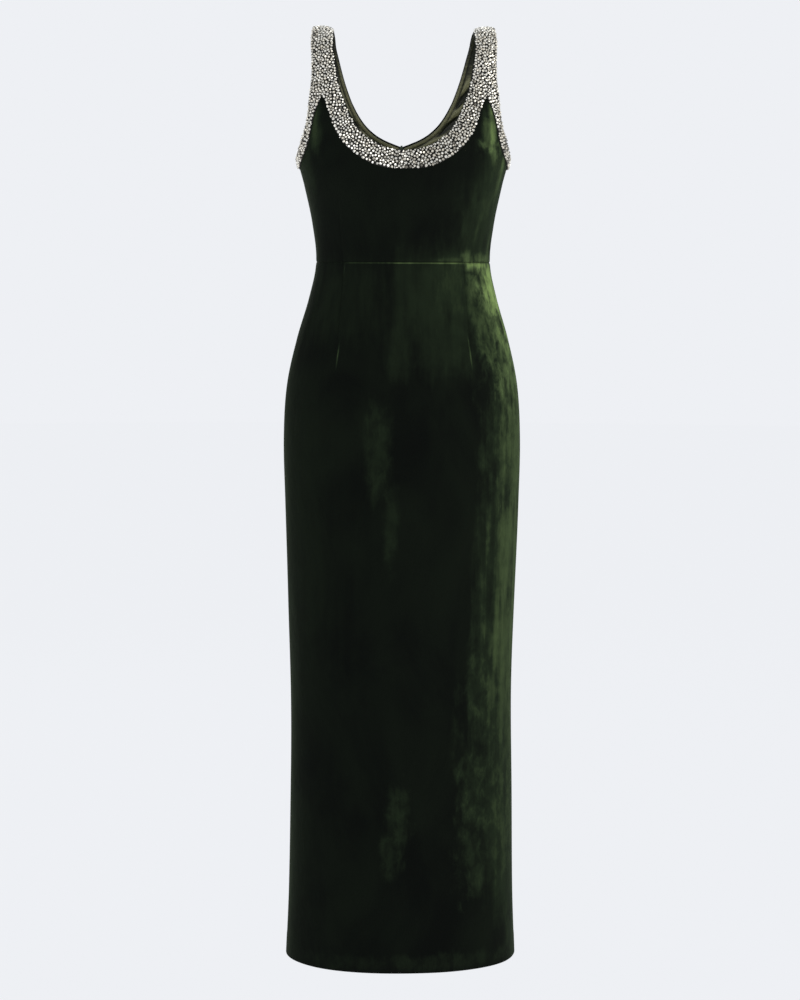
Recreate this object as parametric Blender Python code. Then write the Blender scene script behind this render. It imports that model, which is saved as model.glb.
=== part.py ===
"""A full-length velvet column gown, standing out as it does when worn.

The cloth is a set of curved walls over one body of a few named levels. A place on the cloth
is given by its angle round the body, 0 at the centre front, 90 at the side seam and 180 at
the centre back, and by how far it lies below the top of the shoulder. The front faces -Y,
+X is on the right of somebody looking at the front, and the origin is midway between the
tops of the two straps, where the gown hangs from the shoulders.
"""

import math
from collections import namedtuple

import bmesh
import bpy
from mathutils import Vector

# Driving sizes, in metres
SHOULDER_TOP = 0.0036      # the cloth's highest point, just under the crystals' top
SHOULDER_ARCH = 0.050      # where a strap has turned upright
WAIST_DROP = 0.3475        # shoulder top to waist seam
HEM_DROP = 1.400           # shoulder top to hem
VELVET_THICK = 0.0019      # velvet with its lining
SEAM_GAP = 0.0003
BAND_GAP = 0.0005          # between the crystal bands where they meet along a strap
LAY_GAP = 0.0003           # between a panel and what lies on it
INNER_GAP = 0.0006         # between a panel and what lies inside it, where flat facets bulge
CRYSTAL_THICK = 0.0033     # crystals on their backing
FACING_THICK = 0.0010
DART_DEPTH = 0.0009
DART_HALF_WIDTH = 0.0045
DART_GUIDE = 2             # a dart is the middle one of its panel's guide lines
MERGE = 1e-5
FACING_TO_ZIP = 0.0040     # centre back to the facing's folded end

# The body at each level: half its width, how far the cloth stands out in front and behind,
# and how much squarer than an oval it is
Level = namedtuple("Level", "drop half_width front back fullness")
LEVELS = (
    Level(0.000, 0.1500, 0.062, 0.066, 0.020),
    Level(0.050, 0.1540, 0.074, 0.080, 0.030),
    Level(0.110, 0.1600, 0.092, 0.095, 0.040),
    Level(0.190, 0.1575, 0.111, 0.103, 0.055),
    Level(0.235, 0.1470, 0.115, 0.101, 0.060),
    Level(0.290, 0.1355, 0.104, 0.092, 0.045),
    Level(WAIST_DROP, 0.1298, 0.091, 0.084, 0.035),
    Level(0.400, 0.1400, 0.096, 0.090, 0.035),
    Level(0.460, 0.1575, 0.104, 0.104, 0.035),
    Level(0.530, 0.1725, 0.110, 0.118, 0.030),
    Level(0.610, 0.1775, 0.113, 0.124, 0.030),
    Level(0.700, 0.1758, 0.114, 0.120, 0.030),
    Level(0.850, 0.1710, 0.112, 0.112, 0.030),
    Level(1.000, 0.1675, 0.111, 0.107, 0.030),
    Level(1.150, 0.1690, 0.114, 0.107, 0.030),
    Level(1.300, 0.1715, 0.118, 0.110, 0.030),
    Level(HEM_DROP, 0.1755, 0.121, 0.112, 0.030),
)

# Edges of the pieces, each point by its angle in degrees and its drop
Point = namedtuple("Point", "angle drop")
UNDERARM = Point(90.0, 0.194)
WEDGE = Point(45.6, 0.107)           # where the velvet between the two crystal bands ends
FRONT_NECK_LOW = Point(0.0, 0.1867)
FRONT_NECK_SIDE = Point(33.0, 0.107)
FRONT_ARM_SIDE = Point(57.0, 0.110)
FRONT_NECK_CURVE = (
    FRONT_NECK_LOW, Point(6.5, 0.1850), Point(12.3, 0.1798), Point(17.6, 0.1716),
    Point(23.5, 0.1578), Point(26.6, 0.1440), Point(29.4, 0.1290), FRONT_NECK_SIDE,
)
FRONT_NECK_STRAP = (
    FRONT_NECK_SIDE, Point(36.0, 0.0849), Point(39.2, 0.0555), Point(41.2, 0.0320),
    Point(42.0, SHOULDER_TOP),
)
BAND_LOWER_CURVE = (
    Point(0.0, 0.2136), Point(8.0, 0.2128), Point(15.5, 0.2087), Point(21.6, 0.2007), Point(28.1, 0.1876),
    Point(33.2, 0.1730), Point(36.5, 0.1600), Point(39.2, 0.1440), Point(42.0, 0.1250), WEDGE,
)
STRAP_MIDDLE = (
    WEDGE, Point(46.8, 0.0800), Point(48.8, 0.0500), Point(51.2, 0.0200), Point(52.2, SHOULDER_TOP),
)
FRONT_ARM_CURVE = (
    UNDERARM, Point(80.0, 0.1915), Point(71.5, 0.1815), Point(65.8, 0.1693),
    Point(61.2, 0.1555), Point(58.6, 0.1413), Point(57.3, 0.1266), FRONT_ARM_SIDE,
)
FRONT_ARM_STRAP = (
    FRONT_ARM_SIDE, Point(56.2, 0.0829), Point(58.6, 0.0536), Point(61.8, 0.0237),
    Point(62.6, SHOULDER_TOP),
)
ARM_BAND_CURVE = (
    Point(90.0, 0.2110), Point(78.0, 0.2080), Point(68.9, 0.2000), Point(60.6, 0.1860),
    Point(56.0, 0.1700), Point(53.2, 0.1491), Point(50.8, 0.1330), Point(48.4, 0.1200), WEDGE,
)
BACK_NECK_SIDE = Point(152.5, 0.107)
BACK_ARM_SIDE = Point(121.5, 0.105)
BACK_STRAP_FOOT = Point(137.0, 0.106)
BACK_NECK_CURVE = (
    Point(180.0, 0.1726), Point(175.1, 0.1674), Point(170.2, 0.1616), Point(165.4, 0.1535),
    Point(160.4, 0.1408), Point(156.2, 0.1250), BACK_NECK_SIDE,
)
BACK_NECK_STRAP = (
    BACK_NECK_SIDE, Point(147.0, 0.0737), Point(142.7, 0.0448), Point(139.6, 0.0220),
    Point(138.0, SHOULDER_TOP),
)
BACK_STRAP_MIDDLE = (
    BACK_STRAP_FOOT, Point(134.4, 0.0760), Point(131.0, 0.0450), Point(127.8, SHOULDER_TOP),
)
BACK_ARM_CURVE = (
    UNDERARM, Point(99.0, 0.1905), Point(107.5, 0.1790), Point(113.5, 0.1630),
    Point(118.0, 0.1450), Point(120.5, 0.1250), BACK_ARM_SIDE,
)
BACK_ARM_STRAP = (
    BACK_ARM_SIDE, Point(121.8, 0.0760), Point(120.5, 0.0450), Point(117.4, SHOULDER_TOP),
)
FACING_CURVE = (
    Point(180.0, 0.2130), Point(172.0, 0.2095), Point(164.5, 0.2010), Point(157.0, 0.1870),
    Point(150.0, 0.1680), Point(144.5, 0.1430), Point(139.5, 0.1110),
)
FACING_STRAP = (
    Point(139.5, 0.1110), Point(135.0, 0.0760), Point(130.0, 0.0400), Point(126.0, SHOULDER_TOP),
)

# Waist darts run from the waist seam to their tips, and the lines go on as guides
FRONT_BODICE_DART = (Point(41.4, WAIST_DROP), Point(41.6, 0.3000), Point(38.6, 0.2281))
FRONT_DART_GUIDE = (Point(38.6, 0.2281), Point(40.2, 0.1700), WEDGE)
FRONT_SKIRT_DART = (Point(41.4, WAIST_DROP), Point(38.0, 0.4200), Point(34.5, 0.4971))
BACK_BODICE_DART = (Point(139.0, WAIST_DROP), Point(139.5, 0.2800), Point(140.0, 0.2250))
BACK_DART_GUIDE = (Point(140.0, 0.2250), Point(139.5, 0.1600), BACK_STRAP_FOOT)
BACK_SKIRT_DART = (Point(139.0, WAIST_DROP), Point(140.5, 0.4050), Point(142.0, 0.4700))

# Zip, its slider and its pull
ZIP_HALF_WIDTH = 0.0120
ZIP_TOP_DROP = 0.1747
ZIP_TAPE_THICK = 0.0007
COIL_HALF_WIDTH = 0.0023
COIL_EDGE = 0.0029
COIL_THICK = 0.0027
COIL_TOP_DROP = 0.1860
SLIDER_SIZE = Vector((0.0060, 0.0025, 0.0105))
NECK_SIZE = Vector((0.0028, 0.0, 0.0016))
NECK_LIFT = 0.0006          # the slider's neck above the lowest point of the back neckline
CROWN_SIZE = Vector((0.0022, 0.0044, 0.0062))
CROWN_WINDOW = Vector((0.0060, 0.0021, 0.0031))
CROWN_STAND_OFF = 0.0005
PULL_THICK = 0.0010
PULL_LENGTH = 0.0205        # hinge axis to the pull's tip
PULL_HALF_WIDTH = 0.0031    # at the hinge
PULL_BELLY = 0.0010         # how much wider the pull is near its tip
PULL_BAR = 0.0006           # half the bar that turns in the crown
PULL_WINDOW_END = 0.0043
PULL_WINDOW_HALF = 0.0018

# How finely the walls are divided: rows in each stretch, and the zip ends on a row of the skirt
WAIST_ROWS, CURVE_ROWS, STRAP_ROWS, HIP_ROWS, HEM_ROWS = 6, 13, 7, 10, 6
HIP_END_DROP = 0.700
ZIP_HIP_ROWS = 8
ZIP_END_DROP = WAIST_DROP + (HIP_END_DROP - WAIST_DROP) * ZIP_HIP_ROWS / HIP_ROWS
PULL_STEPS = 14

VELVET = ("velvet", (0.010, 0.022, 0.012, 1.0), 0.85, 0.0)
CRYSTAL = ("crystal", (0.80, 0.77, 0.72, 1.0), 0.15, 0.4)
SATIN = ("satin", (0.085, 0.082, 0.045, 1.0), 0.45, 0.0)
TAPE = ("zip_tape", (0.015, 0.025, 0.015, 1.0), 0.80, 0.0)
METAL = ("metal", (0.05, 0.06, 0.05, 1.0), 0.35, 0.9)


def eased(xs, ys, x):
    """The value at x of a smooth curve through (xs, ys)."""
    last = len(xs) - 1
    i = 0
    while i < last - 1 and x > xs[i + 1]:
        i += 1

    def slope(k):
        low, high = max(k - 1, 0), min(k + 1, last)
        return (ys[high] - ys[low]) / (xs[high] - xs[low])

    span = xs[i + 1] - xs[i]
    t = (x - xs[i]) / span
    return (
        (1 + 2 * t) * (1 - t) ** 2 * ys[i]
        + t * (1 - t) ** 2 * span * slope(i)
        + t * t * (3 - 2 * t) * ys[i + 1]
        + t * t * (t - 1) * span * slope(i + 1)
    )


DROPS = [level.drop for level in LEVELS]
ARCH_RISE = SHOULDER_ARCH - SHOULDER_TOP


def measure_at(drop):
    """(half width, front depth, back depth, fullness) of the body at a drop."""
    return [eased(DROPS, [level[k] for level in LEVELS], drop) for k in range(1, 5)]


def run_of(drop):
    """How far down the cloth itself a drop is, over the curve of the shoulder."""
    if drop < SHOULDER_ARCH:
        return ARCH_RISE * math.acos((SHOULDER_ARCH - drop) / ARCH_RISE)
    return drop - SHOULDER_ARCH + ARCH_RISE * math.pi / 2


def drop_of(run):
    """How far below the origin a run down the cloth is."""
    turned = min(run / ARCH_RISE, math.pi / 2)
    past = max(run - ARCH_RISE * math.pi / 2, 0.0)
    return SHOULDER_ARCH - ARCH_RISE * math.cos(turned) + past


def body_point(run, angle):
    """The point of the body's surface at a run down the cloth and an angle in degrees."""
    turned = min(run / ARCH_RISE, math.pi / 2)
    drop = drop_of(run)
    half_width, front, back, fullness = measure_at(drop)
    round_body = math.radians(angle)
    squared = 1 + fullness * math.sin(2 * round_body) ** 2
    depth = front if angle <= 90 else back
    return Vector((
        half_width * math.sin(round_body) * squared,
        -depth * math.sin(turned) * math.cos(round_body) * squared,
        -drop,
    ))


def cloth_point(run, angle, lift=0.0):
    """The same point moved out along the surface's normal by lift."""
    step_run, step_angle = 1e-4, 0.05
    down = body_point(run + step_run, angle) - body_point(run - step_run, angle)
    across = body_point(run, angle + step_angle) - body_point(run, angle - step_angle)
    return body_point(run, angle) + down.cross(across).normalized() * lift


def edge(points):
    """A smooth edge through points, as a function of the share of its length."""
    runs = [run_of(point.drop) for point in points]
    angles = [point.angle for point in points]
    lengths = [0.0]
    for k in range(1, len(points)):
        apart = body_point(runs[k], angles[k]) - body_point(runs[k - 1], angles[k - 1])
        lengths.append(lengths[-1] + apart.length)
    return lambda share: (
        eased(lengths, runs, share * lengths[-1]),
        eased(lengths, angles, share * lengths[-1]),
    )


def beside(points, distance):
    """The same edge moved round the body by a distance."""
    moved = []
    for point in points:
        half_width, front, _, _ = measure_at(point.drop)
        turned = math.degrees(2 * distance / (half_width + front))
        moved.append(point._replace(angle=point.angle + turned))
    return moved


def guides(*lines):
    """Guide lines up a panel: each is a list of edges, one for each section of its rows."""
    return [[edge(points) for points in line] for line in lines]


def with_dart(inner, dart_line, outer, columns):
    """Guides and columns for a panel with a dart between its inner and outer edges."""
    one_side = [beside(points, -DART_HALF_WIDTH) for points in dart_line]
    other_side = [beside(points, DART_HALF_WIDTH) for points in dart_line]
    return guides(inner, one_side, dart_line, other_side, outer), (columns[0], 1, 1, columns[1])


KEPT = ("run", "angle", "guide", "side")


def sheet_of(lines, columns, rows):
    """A grid laid over the guides, as a bmesh that keeps each vertex's run, angle and guide."""
    sheet = bmesh.new()
    run_layer, angle_layer, guide_layer, _ = [sheet.verts.layers.float.new(name) for name in KEPT]
    wide, tall = sum(columns), sum(rows)
    bmesh.ops.create_grid(sheet, x_segments=wide, y_segments=tall, size=0.5)
    for vertex in sheet.verts:
        column = round((vertex.co.x + 0.5) * wide)
        row = round((vertex.co.y + 0.5) * tall)
        strip = 0
        while column > columns[strip]:
            column -= columns[strip]
            strip += 1
        section = 0
        while row > rows[section]:
            row -= rows[section]
            section += 1
        across, along = column / columns[strip], row / rows[section]
        run_a, angle_a = lines[strip][section](along)
        run_b, angle_b = lines[strip + 1][section](along)
        vertex[run_layer] = run_a + (run_b - run_a) * across
        vertex[angle_layer] = angle_a + (angle_b - angle_a) * across
        vertex[guide_layer] = strip + across
    return sheet


def held_back(sheet, low_drop, high_drop, low_angle, high_angle):
    """Holds a sheet's edges back from its seams by half the gap between pieces."""
    run_layer, angle_layer = sheet.verts.layers.float["run"], sheet.verts.layers.float["angle"]
    low_run = run_of(low_drop) + SEAM_GAP / 2
    high_run = run_of(high_drop) - SEAM_GAP / 2
    for vertex in sheet.verts:
        vertex[run_layer] = min(max(vertex[run_layer], low_run), high_run)
        half_width, front, back, _ = measure_at(drop_of(vertex[run_layer]))
        side_gap = math.degrees(SEAM_GAP / 2 / min(front, back))
        middle_gap = math.degrees(SEAM_GAP / 2 / half_width)
        lowest = low_angle + (side_gap if low_angle == 90 else 0)
        highest = high_angle - (side_gap if high_angle == 90 else middle_gap)
        vertex[angle_layer] = min(max(vertex[angle_layer], lowest), highest)


def walled(sheet, inner_lift, outer_lift, pressed_in=None, mirrored=False, left=False):
    """Gives a sheet its place and its thickness, and closes it into one solid."""
    run_layer, angle_layer, guide_layer, side_layer = [sheet.verts.layers.float[name] for name in KEPT]

    def place(vertex, lift):
        run, angle, guide = vertex[run_layer], vertex[angle_layer], vertex[guide_layer]
        pressed = pressed_in(run, guide) if pressed_in else 0.0
        point = cloth_point(run, angle, lift(guide, run) - pressed)
        vertex.co = (vertex[side_layer] * point.x, point.y, point.z)

    for vertex in sheet.verts:
        vertex[side_layer] = -1.0 if left else 1.0
        place(vertex, outer_lift)
    if mirrored:
        half = sheet.verts[:] + sheet.edges[:] + sheet.faces[:]
        bmesh.ops.mirror(sheet, geom=half, axis="X", merge_dist=MERGE)
        for vertex in sheet.verts:
            vertex[side_layer] = -1.0 if vertex.co.x < 0 else 1.0
    grown = bmesh.ops.extrude_face_region(sheet, geom=sheet.faces[:])
    for item in grown["geom"]:
        if isinstance(item, bmesh.types.BMVert):
            place(item, inner_lift)
    bmesh.ops.recalc_face_normals(sheet, faces=sheet.faces)
    return sheet


def even(lift):
    """A lift that is the same all over a piece."""
    return lambda guide, run: lift


def dart_pressed(dart):
    """How far a dart's stitched line presses the cloth in, fading over the half by its tip."""
    waist_run, tip_run = run_of(dart[0].drop), run_of(dart[-1].drop)

    def pressed(run, guide):
        if abs(guide - DART_GUIDE) > 0.01:
            return 0.0
        share = (run - tip_run) / (waist_run - tip_run)
        return DART_DEPTH * min(max(share * 2.0, 0.0), 1.0)

    return pressed


def material_of(finish):
    """The material of a finish, made the first time it is asked for."""
    name, colour, roughness, metallic = finish
    material = bpy.data.materials.get(name)
    if material is None:
        material = bpy.data.materials.new(name)
        material.use_nodes = True
        shader = material.node_tree.nodes["Principled BSDF"]
        shader.inputs["Base Color"].default_value = colour
        shader.inputs["Roughness"].default_value = roughness
        shader.inputs["Metallic"].default_value = metallic
        material.diffuse_color = colour
    return material


def added(name, data, finish, collection):
    """A named object of the gown, with its material."""
    data.materials.append(material_of(finish))
    made = bpy.data.objects.new(name, data)
    collection.objects.link(made)
    return made


def add_solid(name, solid, finish, collection):
    """Turns a bmesh into a named object."""
    mesh = bpy.data.meshes.new(name)
    solid.to_mesh(mesh)
    solid.free()
    mesh.shade_smooth()
    mesh.set_sharp_from_angle(angle=math.radians(50))
    return added(name, mesh, finish, collection)


def centre_line(angle, low_drop, high_drop):
    """A straight seam up the body at one angle."""
    return (Point(angle, low_drop), Point(angle, (low_drop + high_drop) / 2), Point(angle, high_drop))


def add_bodice(gown):
    """The front bodice in one piece, and the two back bodices either side of the zip."""
    wall, skin = even(-VELVET_THICK), even(0.0)
    rows = (WAIST_ROWS, CURVE_ROWS, STRAP_ROWS)
    side_seam = centre_line(90.0, WAIST_DROP, UNDERARM.drop)
    front = [centre_line(0.0, WAIST_DROP, FRONT_NECK_LOW.drop), FRONT_NECK_CURVE, FRONT_NECK_STRAP]
    lines, columns = with_dart(
        front,
        [FRONT_BODICE_DART, FRONT_DART_GUIDE, STRAP_MIDDLE],
        [side_seam, FRONT_ARM_CURVE, FRONT_ARM_STRAP],
        (5, 4),
    )
    sheet = sheet_of(lines, columns, rows)
    held_back(sheet, SHOULDER_TOP, WAIST_DROP, 0.0, 90)
    solid = walled(sheet, wall, skin, dart_pressed(FRONT_BODICE_DART), mirrored=True)
    add_solid("front_bodice", solid, VELVET, gown)
    back = [centre_line(180.0, WAIST_DROP, BACK_NECK_CURVE[0].drop), BACK_NECK_CURVE, BACK_NECK_STRAP]
    for side in ("left", "right"):
        lines, columns = with_dart(
            [side_seam, BACK_ARM_CURVE, BACK_ARM_STRAP],
            [BACK_BODICE_DART, BACK_DART_GUIDE, BACK_STRAP_MIDDLE],
            back,
            (4, 5),
        )
        sheet = sheet_of(lines, columns, rows)
        held_back(sheet, SHOULDER_TOP, WAIST_DROP, 90, 180)
        solid = walled(sheet, wall, skin, dart_pressed(BACK_BODICE_DART), left=side == "left")
        add_solid(f"back_bodice_{side}", solid, VELVET, gown)


def skirt_lines(angle, dart=None):
    """A guide in two sections, from the waist past the hip and on to the hem."""
    upper = (*dart, Point(angle, HIP_END_DROP)) if dart else centre_line(angle, WAIST_DROP, HIP_END_DROP)
    return [upper, centre_line(angle, HIP_END_DROP, HEM_DROP)]


def add_skirt(gown):
    """The front skirt in one piece, and the two back skirts that meet at the centre back."""
    wall, skin = even(-VELVET_THICK), even(0.0)
    rows = (HIP_ROWS, HEM_ROWS)
    front_dart = skirt_lines(FRONT_SKIRT_DART[-1].angle, FRONT_SKIRT_DART)
    back_dart = skirt_lines(BACK_SKIRT_DART[-1].angle, BACK_SKIRT_DART)
    lines, columns = with_dart(skirt_lines(0.0), front_dart, skirt_lines(90.0), (5, 4))
    sheet = sheet_of(lines, columns, rows)
    held_back(sheet, WAIST_DROP, HEM_DROP, 0.0, 90)
    solid = walled(sheet, wall, skin, dart_pressed(FRONT_SKIRT_DART), mirrored=True)
    add_solid("front_skirt", solid, VELVET, gown)
    for side in ("left", "right"):
        lines, columns = with_dart(skirt_lines(90.0), back_dart, skirt_lines(180.0), (4, 5))
        sheet = sheet_of(lines, columns, rows)
        held_back(sheet, WAIST_DROP, HEM_DROP, 90, 180)
        solid = walled(sheet, wall, skin, dart_pressed(BACK_SKIRT_DART), left=side == "left")
        add_solid(f"back_skirt_{side}", solid, VELVET, gown)


def add_crystal_bands(gown):
    """The crystal band round the front neckline, and one down the front of each armhole."""
    under, top = even(LAY_GAP), even(LAY_GAP + CRYSTAL_THICK)
    rows = (CURVE_ROWS, STRAP_ROWS)
    inner_middle = beside(STRAP_MIDDLE, -BAND_GAP / 2)
    outer_middle = beside(STRAP_MIDDLE, BAND_GAP / 2)
    lower_curve = (*BAND_LOWER_CURVE[:-1], inner_middle[0])
    lines = guides([FRONT_NECK_CURVE, FRONT_NECK_STRAP], [lower_curve, inner_middle])
    sheet = sheet_of(lines, (3,), rows)
    held_back(sheet, SHOULDER_TOP, WAIST_DROP, 0.0, 90)
    add_solid("neckline_crystal_band", walled(sheet, under, top, mirrored=True), CRYSTAL, gown)
    arm_curve = (*ARM_BAND_CURVE[:-1], outer_middle[0])
    for side in ("left", "right"):
        lines = guides([arm_curve, outer_middle], [FRONT_ARM_CURVE, FRONT_ARM_STRAP])
        sheet = sheet_of(lines, (2,), rows)
        held_back(sheet, SHOULDER_TOP, WAIST_DROP, 0.0, 90)
        solid = walled(sheet, under, top, left=side == "left")
        add_solid(f"armhole_crystal_band_{side}", solid, CRYSTAL, gown)


def add_facings(gown):
    """The satin facing inside the back neckline and straps, over the edges of the zip's tape."""
    top_lift = -(VELVET_THICK + INNER_GAP + ZIP_TAPE_THICK + LAY_GAP)
    rows = (CURVE_ROWS, STRAP_ROWS)
    end_angle = 180 - math.degrees(FACING_TO_ZIP / measure_at(UNDERARM.drop)[0])
    for side in ("left", "right"):
        lines = guides([FACING_CURVE, FACING_STRAP], [BACK_NECK_CURVE, BACK_NECK_STRAP])
        sheet = sheet_of(lines, (3,), rows)
        held_back(sheet, SHOULDER_TOP, WAIST_DROP, 90, end_angle)
        solid = walled(sheet, even(top_lift - FACING_THICK), even(top_lift), left=side == "left")
        add_solid(f"back_neck_facing_{side}", solid, SATIN, gown)


def add_zip(gown):
    """The zip's tape inside the centre back, with the ridge of its closed coil."""
    tape_top = -(VELVET_THICK + INNER_GAP)
    coil_run = run_of(COIL_TOP_DROP)

    def across(x):
        angle = 180.0 - math.degrees(x / measure_at(WAIST_DROP)[0])
        return [centre_line(angle, ZIP_END_DROP, WAIST_DROP), centre_line(angle, WAIST_DROP, ZIP_TOP_DROP)]

    half = (0.0, COIL_HALF_WIDTH, COIL_EDGE, ZIP_HALF_WIDTH)
    lines = guides(*[across(x) for x in half])
    sheet = sheet_of(lines, (1, 1, 1), (ZIP_HIP_ROWS, WAIST_ROWS))

    def under_side(guide, run):
        thick = COIL_THICK if guide < 1.01 and run > coil_run else ZIP_TAPE_THICK
        return tape_top - thick

    solid = walled(sheet, under_side, even(tape_top), mirrored=True)
    add_solid("zip", solid, TAPE, gown)


def block(name, size, centre, collection):
    """A plain block of a size about a centre."""
    solid = bmesh.new()
    bmesh.ops.create_cube(solid, size=1.0)
    bmesh.ops.scale(solid, vec=size, verts=solid.verts)
    bmesh.ops.translate(solid, vec=centre, verts=solid.verts)
    return add_solid(name, solid, METAL, collection)


def joined(target, other, operation):
    """Cuts or joins another block into the target, and keeps the other as a hidden helper."""
    other.hide_render = True
    other.display_type = "WIRE"
    change = target.modifiers.new(other.name, "BOOLEAN")
    change.operation = operation
    change.object = other


def add_slider(gown, helpers):
    """The slider behind the coil's top, its neck over the neckline and the crown outside."""
    notch = cloth_point(run_of(BACK_NECK_CURVE[0].drop), 180.0)
    behind = cloth_point(run_of(ZIP_TOP_DROP + SLIDER_SIZE.z), 180.0)
    tape_under = min(notch.y, behind.y) - VELVET_THICK - INNER_GAP - ZIP_TAPE_THICK - LAY_GAP
    plate_back = tape_under - SLIDER_SIZE.y
    plate_top = -ZIP_TOP_DROP
    neck_low = notch.z + NECK_LIFT
    neck_top = neck_low + NECK_SIZE.z
    crown_front = notch.y + CROWN_STAND_OFF
    slider = block(
        "zip_slider",
        SLIDER_SIZE,
        Vector((0, (plate_back + tape_under) / 2, plate_top - SLIDER_SIZE.z / 2)),
        gown,
    )
    post_foot = plate_top - SLIDER_SIZE.z / 2
    post = block(
        "slider_post",
        Vector((NECK_SIZE.x, SLIDER_SIZE.y, neck_top - post_foot)),
        Vector((0, (plate_back + tape_under) / 2, (neck_top + post_foot) / 2)),
        helpers,
    )
    crown_middle = crown_front + CROWN_SIZE.y / 2
    neck = block(
        "slider_neck",
        Vector((NECK_SIZE.x, crown_middle - plate_back, NECK_SIZE.z)),
        Vector((0, (crown_middle + plate_back) / 2, neck_low + NECK_SIZE.z / 2)),
        helpers,
    )
    crown_centre = Vector((0, crown_middle, neck_top - CROWN_SIZE.z / 2))
    crown = block("slider_crown", CROWN_SIZE, crown_centre, helpers)
    window = block("crown_window", CROWN_WINDOW, crown_centre, helpers)
    for piece, operation in ((post, "UNION"), (neck, "UNION"), (crown, "UNION"), (window, "DIFFERENCE")):
        joined(slider, piece, operation)
    return crown_centre


def closed_line(curve, points):
    """Adds one closed straight-sided line to a flat curve."""
    line = curve.splines.new("POLY")
    line.points.add(len(points) - 1)
    for point, (x, y) in zip(line.points, points):
        point.co = (x, y, 0.0, 1.0)
    line.use_cyclic_u = True


def add_pull(gown, hinge):
    """The flat drop-shaped pull, hanging by its top bar from the crown."""
    outline = bpy.data.curves.new("zip_pull", "CURVE")
    outline.dimensions = "2D"
    outline.fill_mode = "BOTH"
    outline.extrude = PULL_THICK / 2
    belly_radius = PULL_HALF_WIDTH + PULL_BELLY
    belly_y = belly_radius - PULL_LENGTH
    drop_shape = [(-PULL_HALF_WIDTH, PULL_BAR), (-PULL_HALF_WIDTH, -PULL_WINDOW_END)]
    for step in range(PULL_STEPS + 1):
        turn = math.pi * (1 + step / PULL_STEPS)
        drop_shape.append((belly_radius * math.cos(turn), belly_y + belly_radius * math.sin(turn)))
    drop_shape += [(PULL_HALF_WIDTH, -PULL_WINDOW_END), (PULL_HALF_WIDTH, PULL_BAR)]
    closed_line(outline, drop_shape)
    closed_line(outline, [
        (-PULL_WINDOW_HALF, -PULL_BAR),
        (-PULL_WINDOW_HALF, -PULL_WINDOW_END),
        (PULL_WINDOW_HALF, -PULL_WINDOW_END),
        (PULL_WINDOW_HALF, -PULL_BAR),
    ])
    pull = added("zip_pull", outline, METAL, gown)
    pull.location = hinge
    pull.rotation_euler = (math.pi / 2, 0, 0)


def main():
    for old in list(bpy.data.objects):
        bpy.data.objects.remove(old, do_unlink=True)
    gown = bpy.data.collections.new("velvet_column_gown")
    helpers = bpy.data.collections.new("cutters")
    for collection in (gown, helpers):
        bpy.context.scene.collection.children.link(collection)
    add_bodice(gown)
    add_skirt(gown)
    add_crystal_bands(gown)
    add_facings(gown)
    add_zip(gown)
    hinge = add_slider(gown, helpers)
    add_pull(gown, hinge)


main()
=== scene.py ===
"""The looks of a velvet column gown: cloth, crystal bands, satin facing and zip.

A place on the cloth is its run down the cloth from the top of the shoulder and its angle
round the body in degrees: 0 at the centre front, 90 at the right side seam as seen from the
front, -90 at the left one, and 180 or -180 at the centre back. Every piece is laid over the
same body form as the solids, from the same named levels and edges, and takes the same relief
of creases, darts and pressed seams.
"""

import math
from collections import namedtuple

import bmesh
import bpy
import numpy as np
from mathutils import Matrix, Vector


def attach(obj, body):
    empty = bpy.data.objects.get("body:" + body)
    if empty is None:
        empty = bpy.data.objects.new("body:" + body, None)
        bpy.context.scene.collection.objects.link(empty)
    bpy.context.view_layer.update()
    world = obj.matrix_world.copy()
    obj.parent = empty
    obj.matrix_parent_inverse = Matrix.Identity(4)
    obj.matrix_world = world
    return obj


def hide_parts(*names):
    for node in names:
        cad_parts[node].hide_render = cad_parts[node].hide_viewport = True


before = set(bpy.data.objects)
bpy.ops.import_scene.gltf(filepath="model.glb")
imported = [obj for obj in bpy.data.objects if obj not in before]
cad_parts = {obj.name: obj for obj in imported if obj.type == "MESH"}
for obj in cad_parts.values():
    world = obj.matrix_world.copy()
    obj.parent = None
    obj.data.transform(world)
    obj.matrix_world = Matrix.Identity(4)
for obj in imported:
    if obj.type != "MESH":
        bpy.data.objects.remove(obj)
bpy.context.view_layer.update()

# Sizes shared with the solids, in metres
SHOULDER_TOP = 0.0036
SHOULDER_ARCH = 0.050
ARCH_RISE = SHOULDER_ARCH - SHOULDER_TOP
WAIST_DROP = 0.3475
HIP_END_DROP = 0.700
HEM_DROP = 1.400
VELVET_THICK = 0.0019
LAY_GAP = 0.0003
INNER_GAP = 0.0006
CRYSTAL_THICK = 0.0033
FACING_THICK = 0.0010
ZIP_HALF_WIDTH = 0.0120
ZIP_TOP_DROP = 0.1747
ZIP_END_DROP = 0.6295
ZIP_TAPE_THICK = 0.0007
COIL_TOP_DROP = 0.1860
DART_HALF_WIDTH = 0.0045
FACING_TO_ZIP = 0.0040

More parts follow.
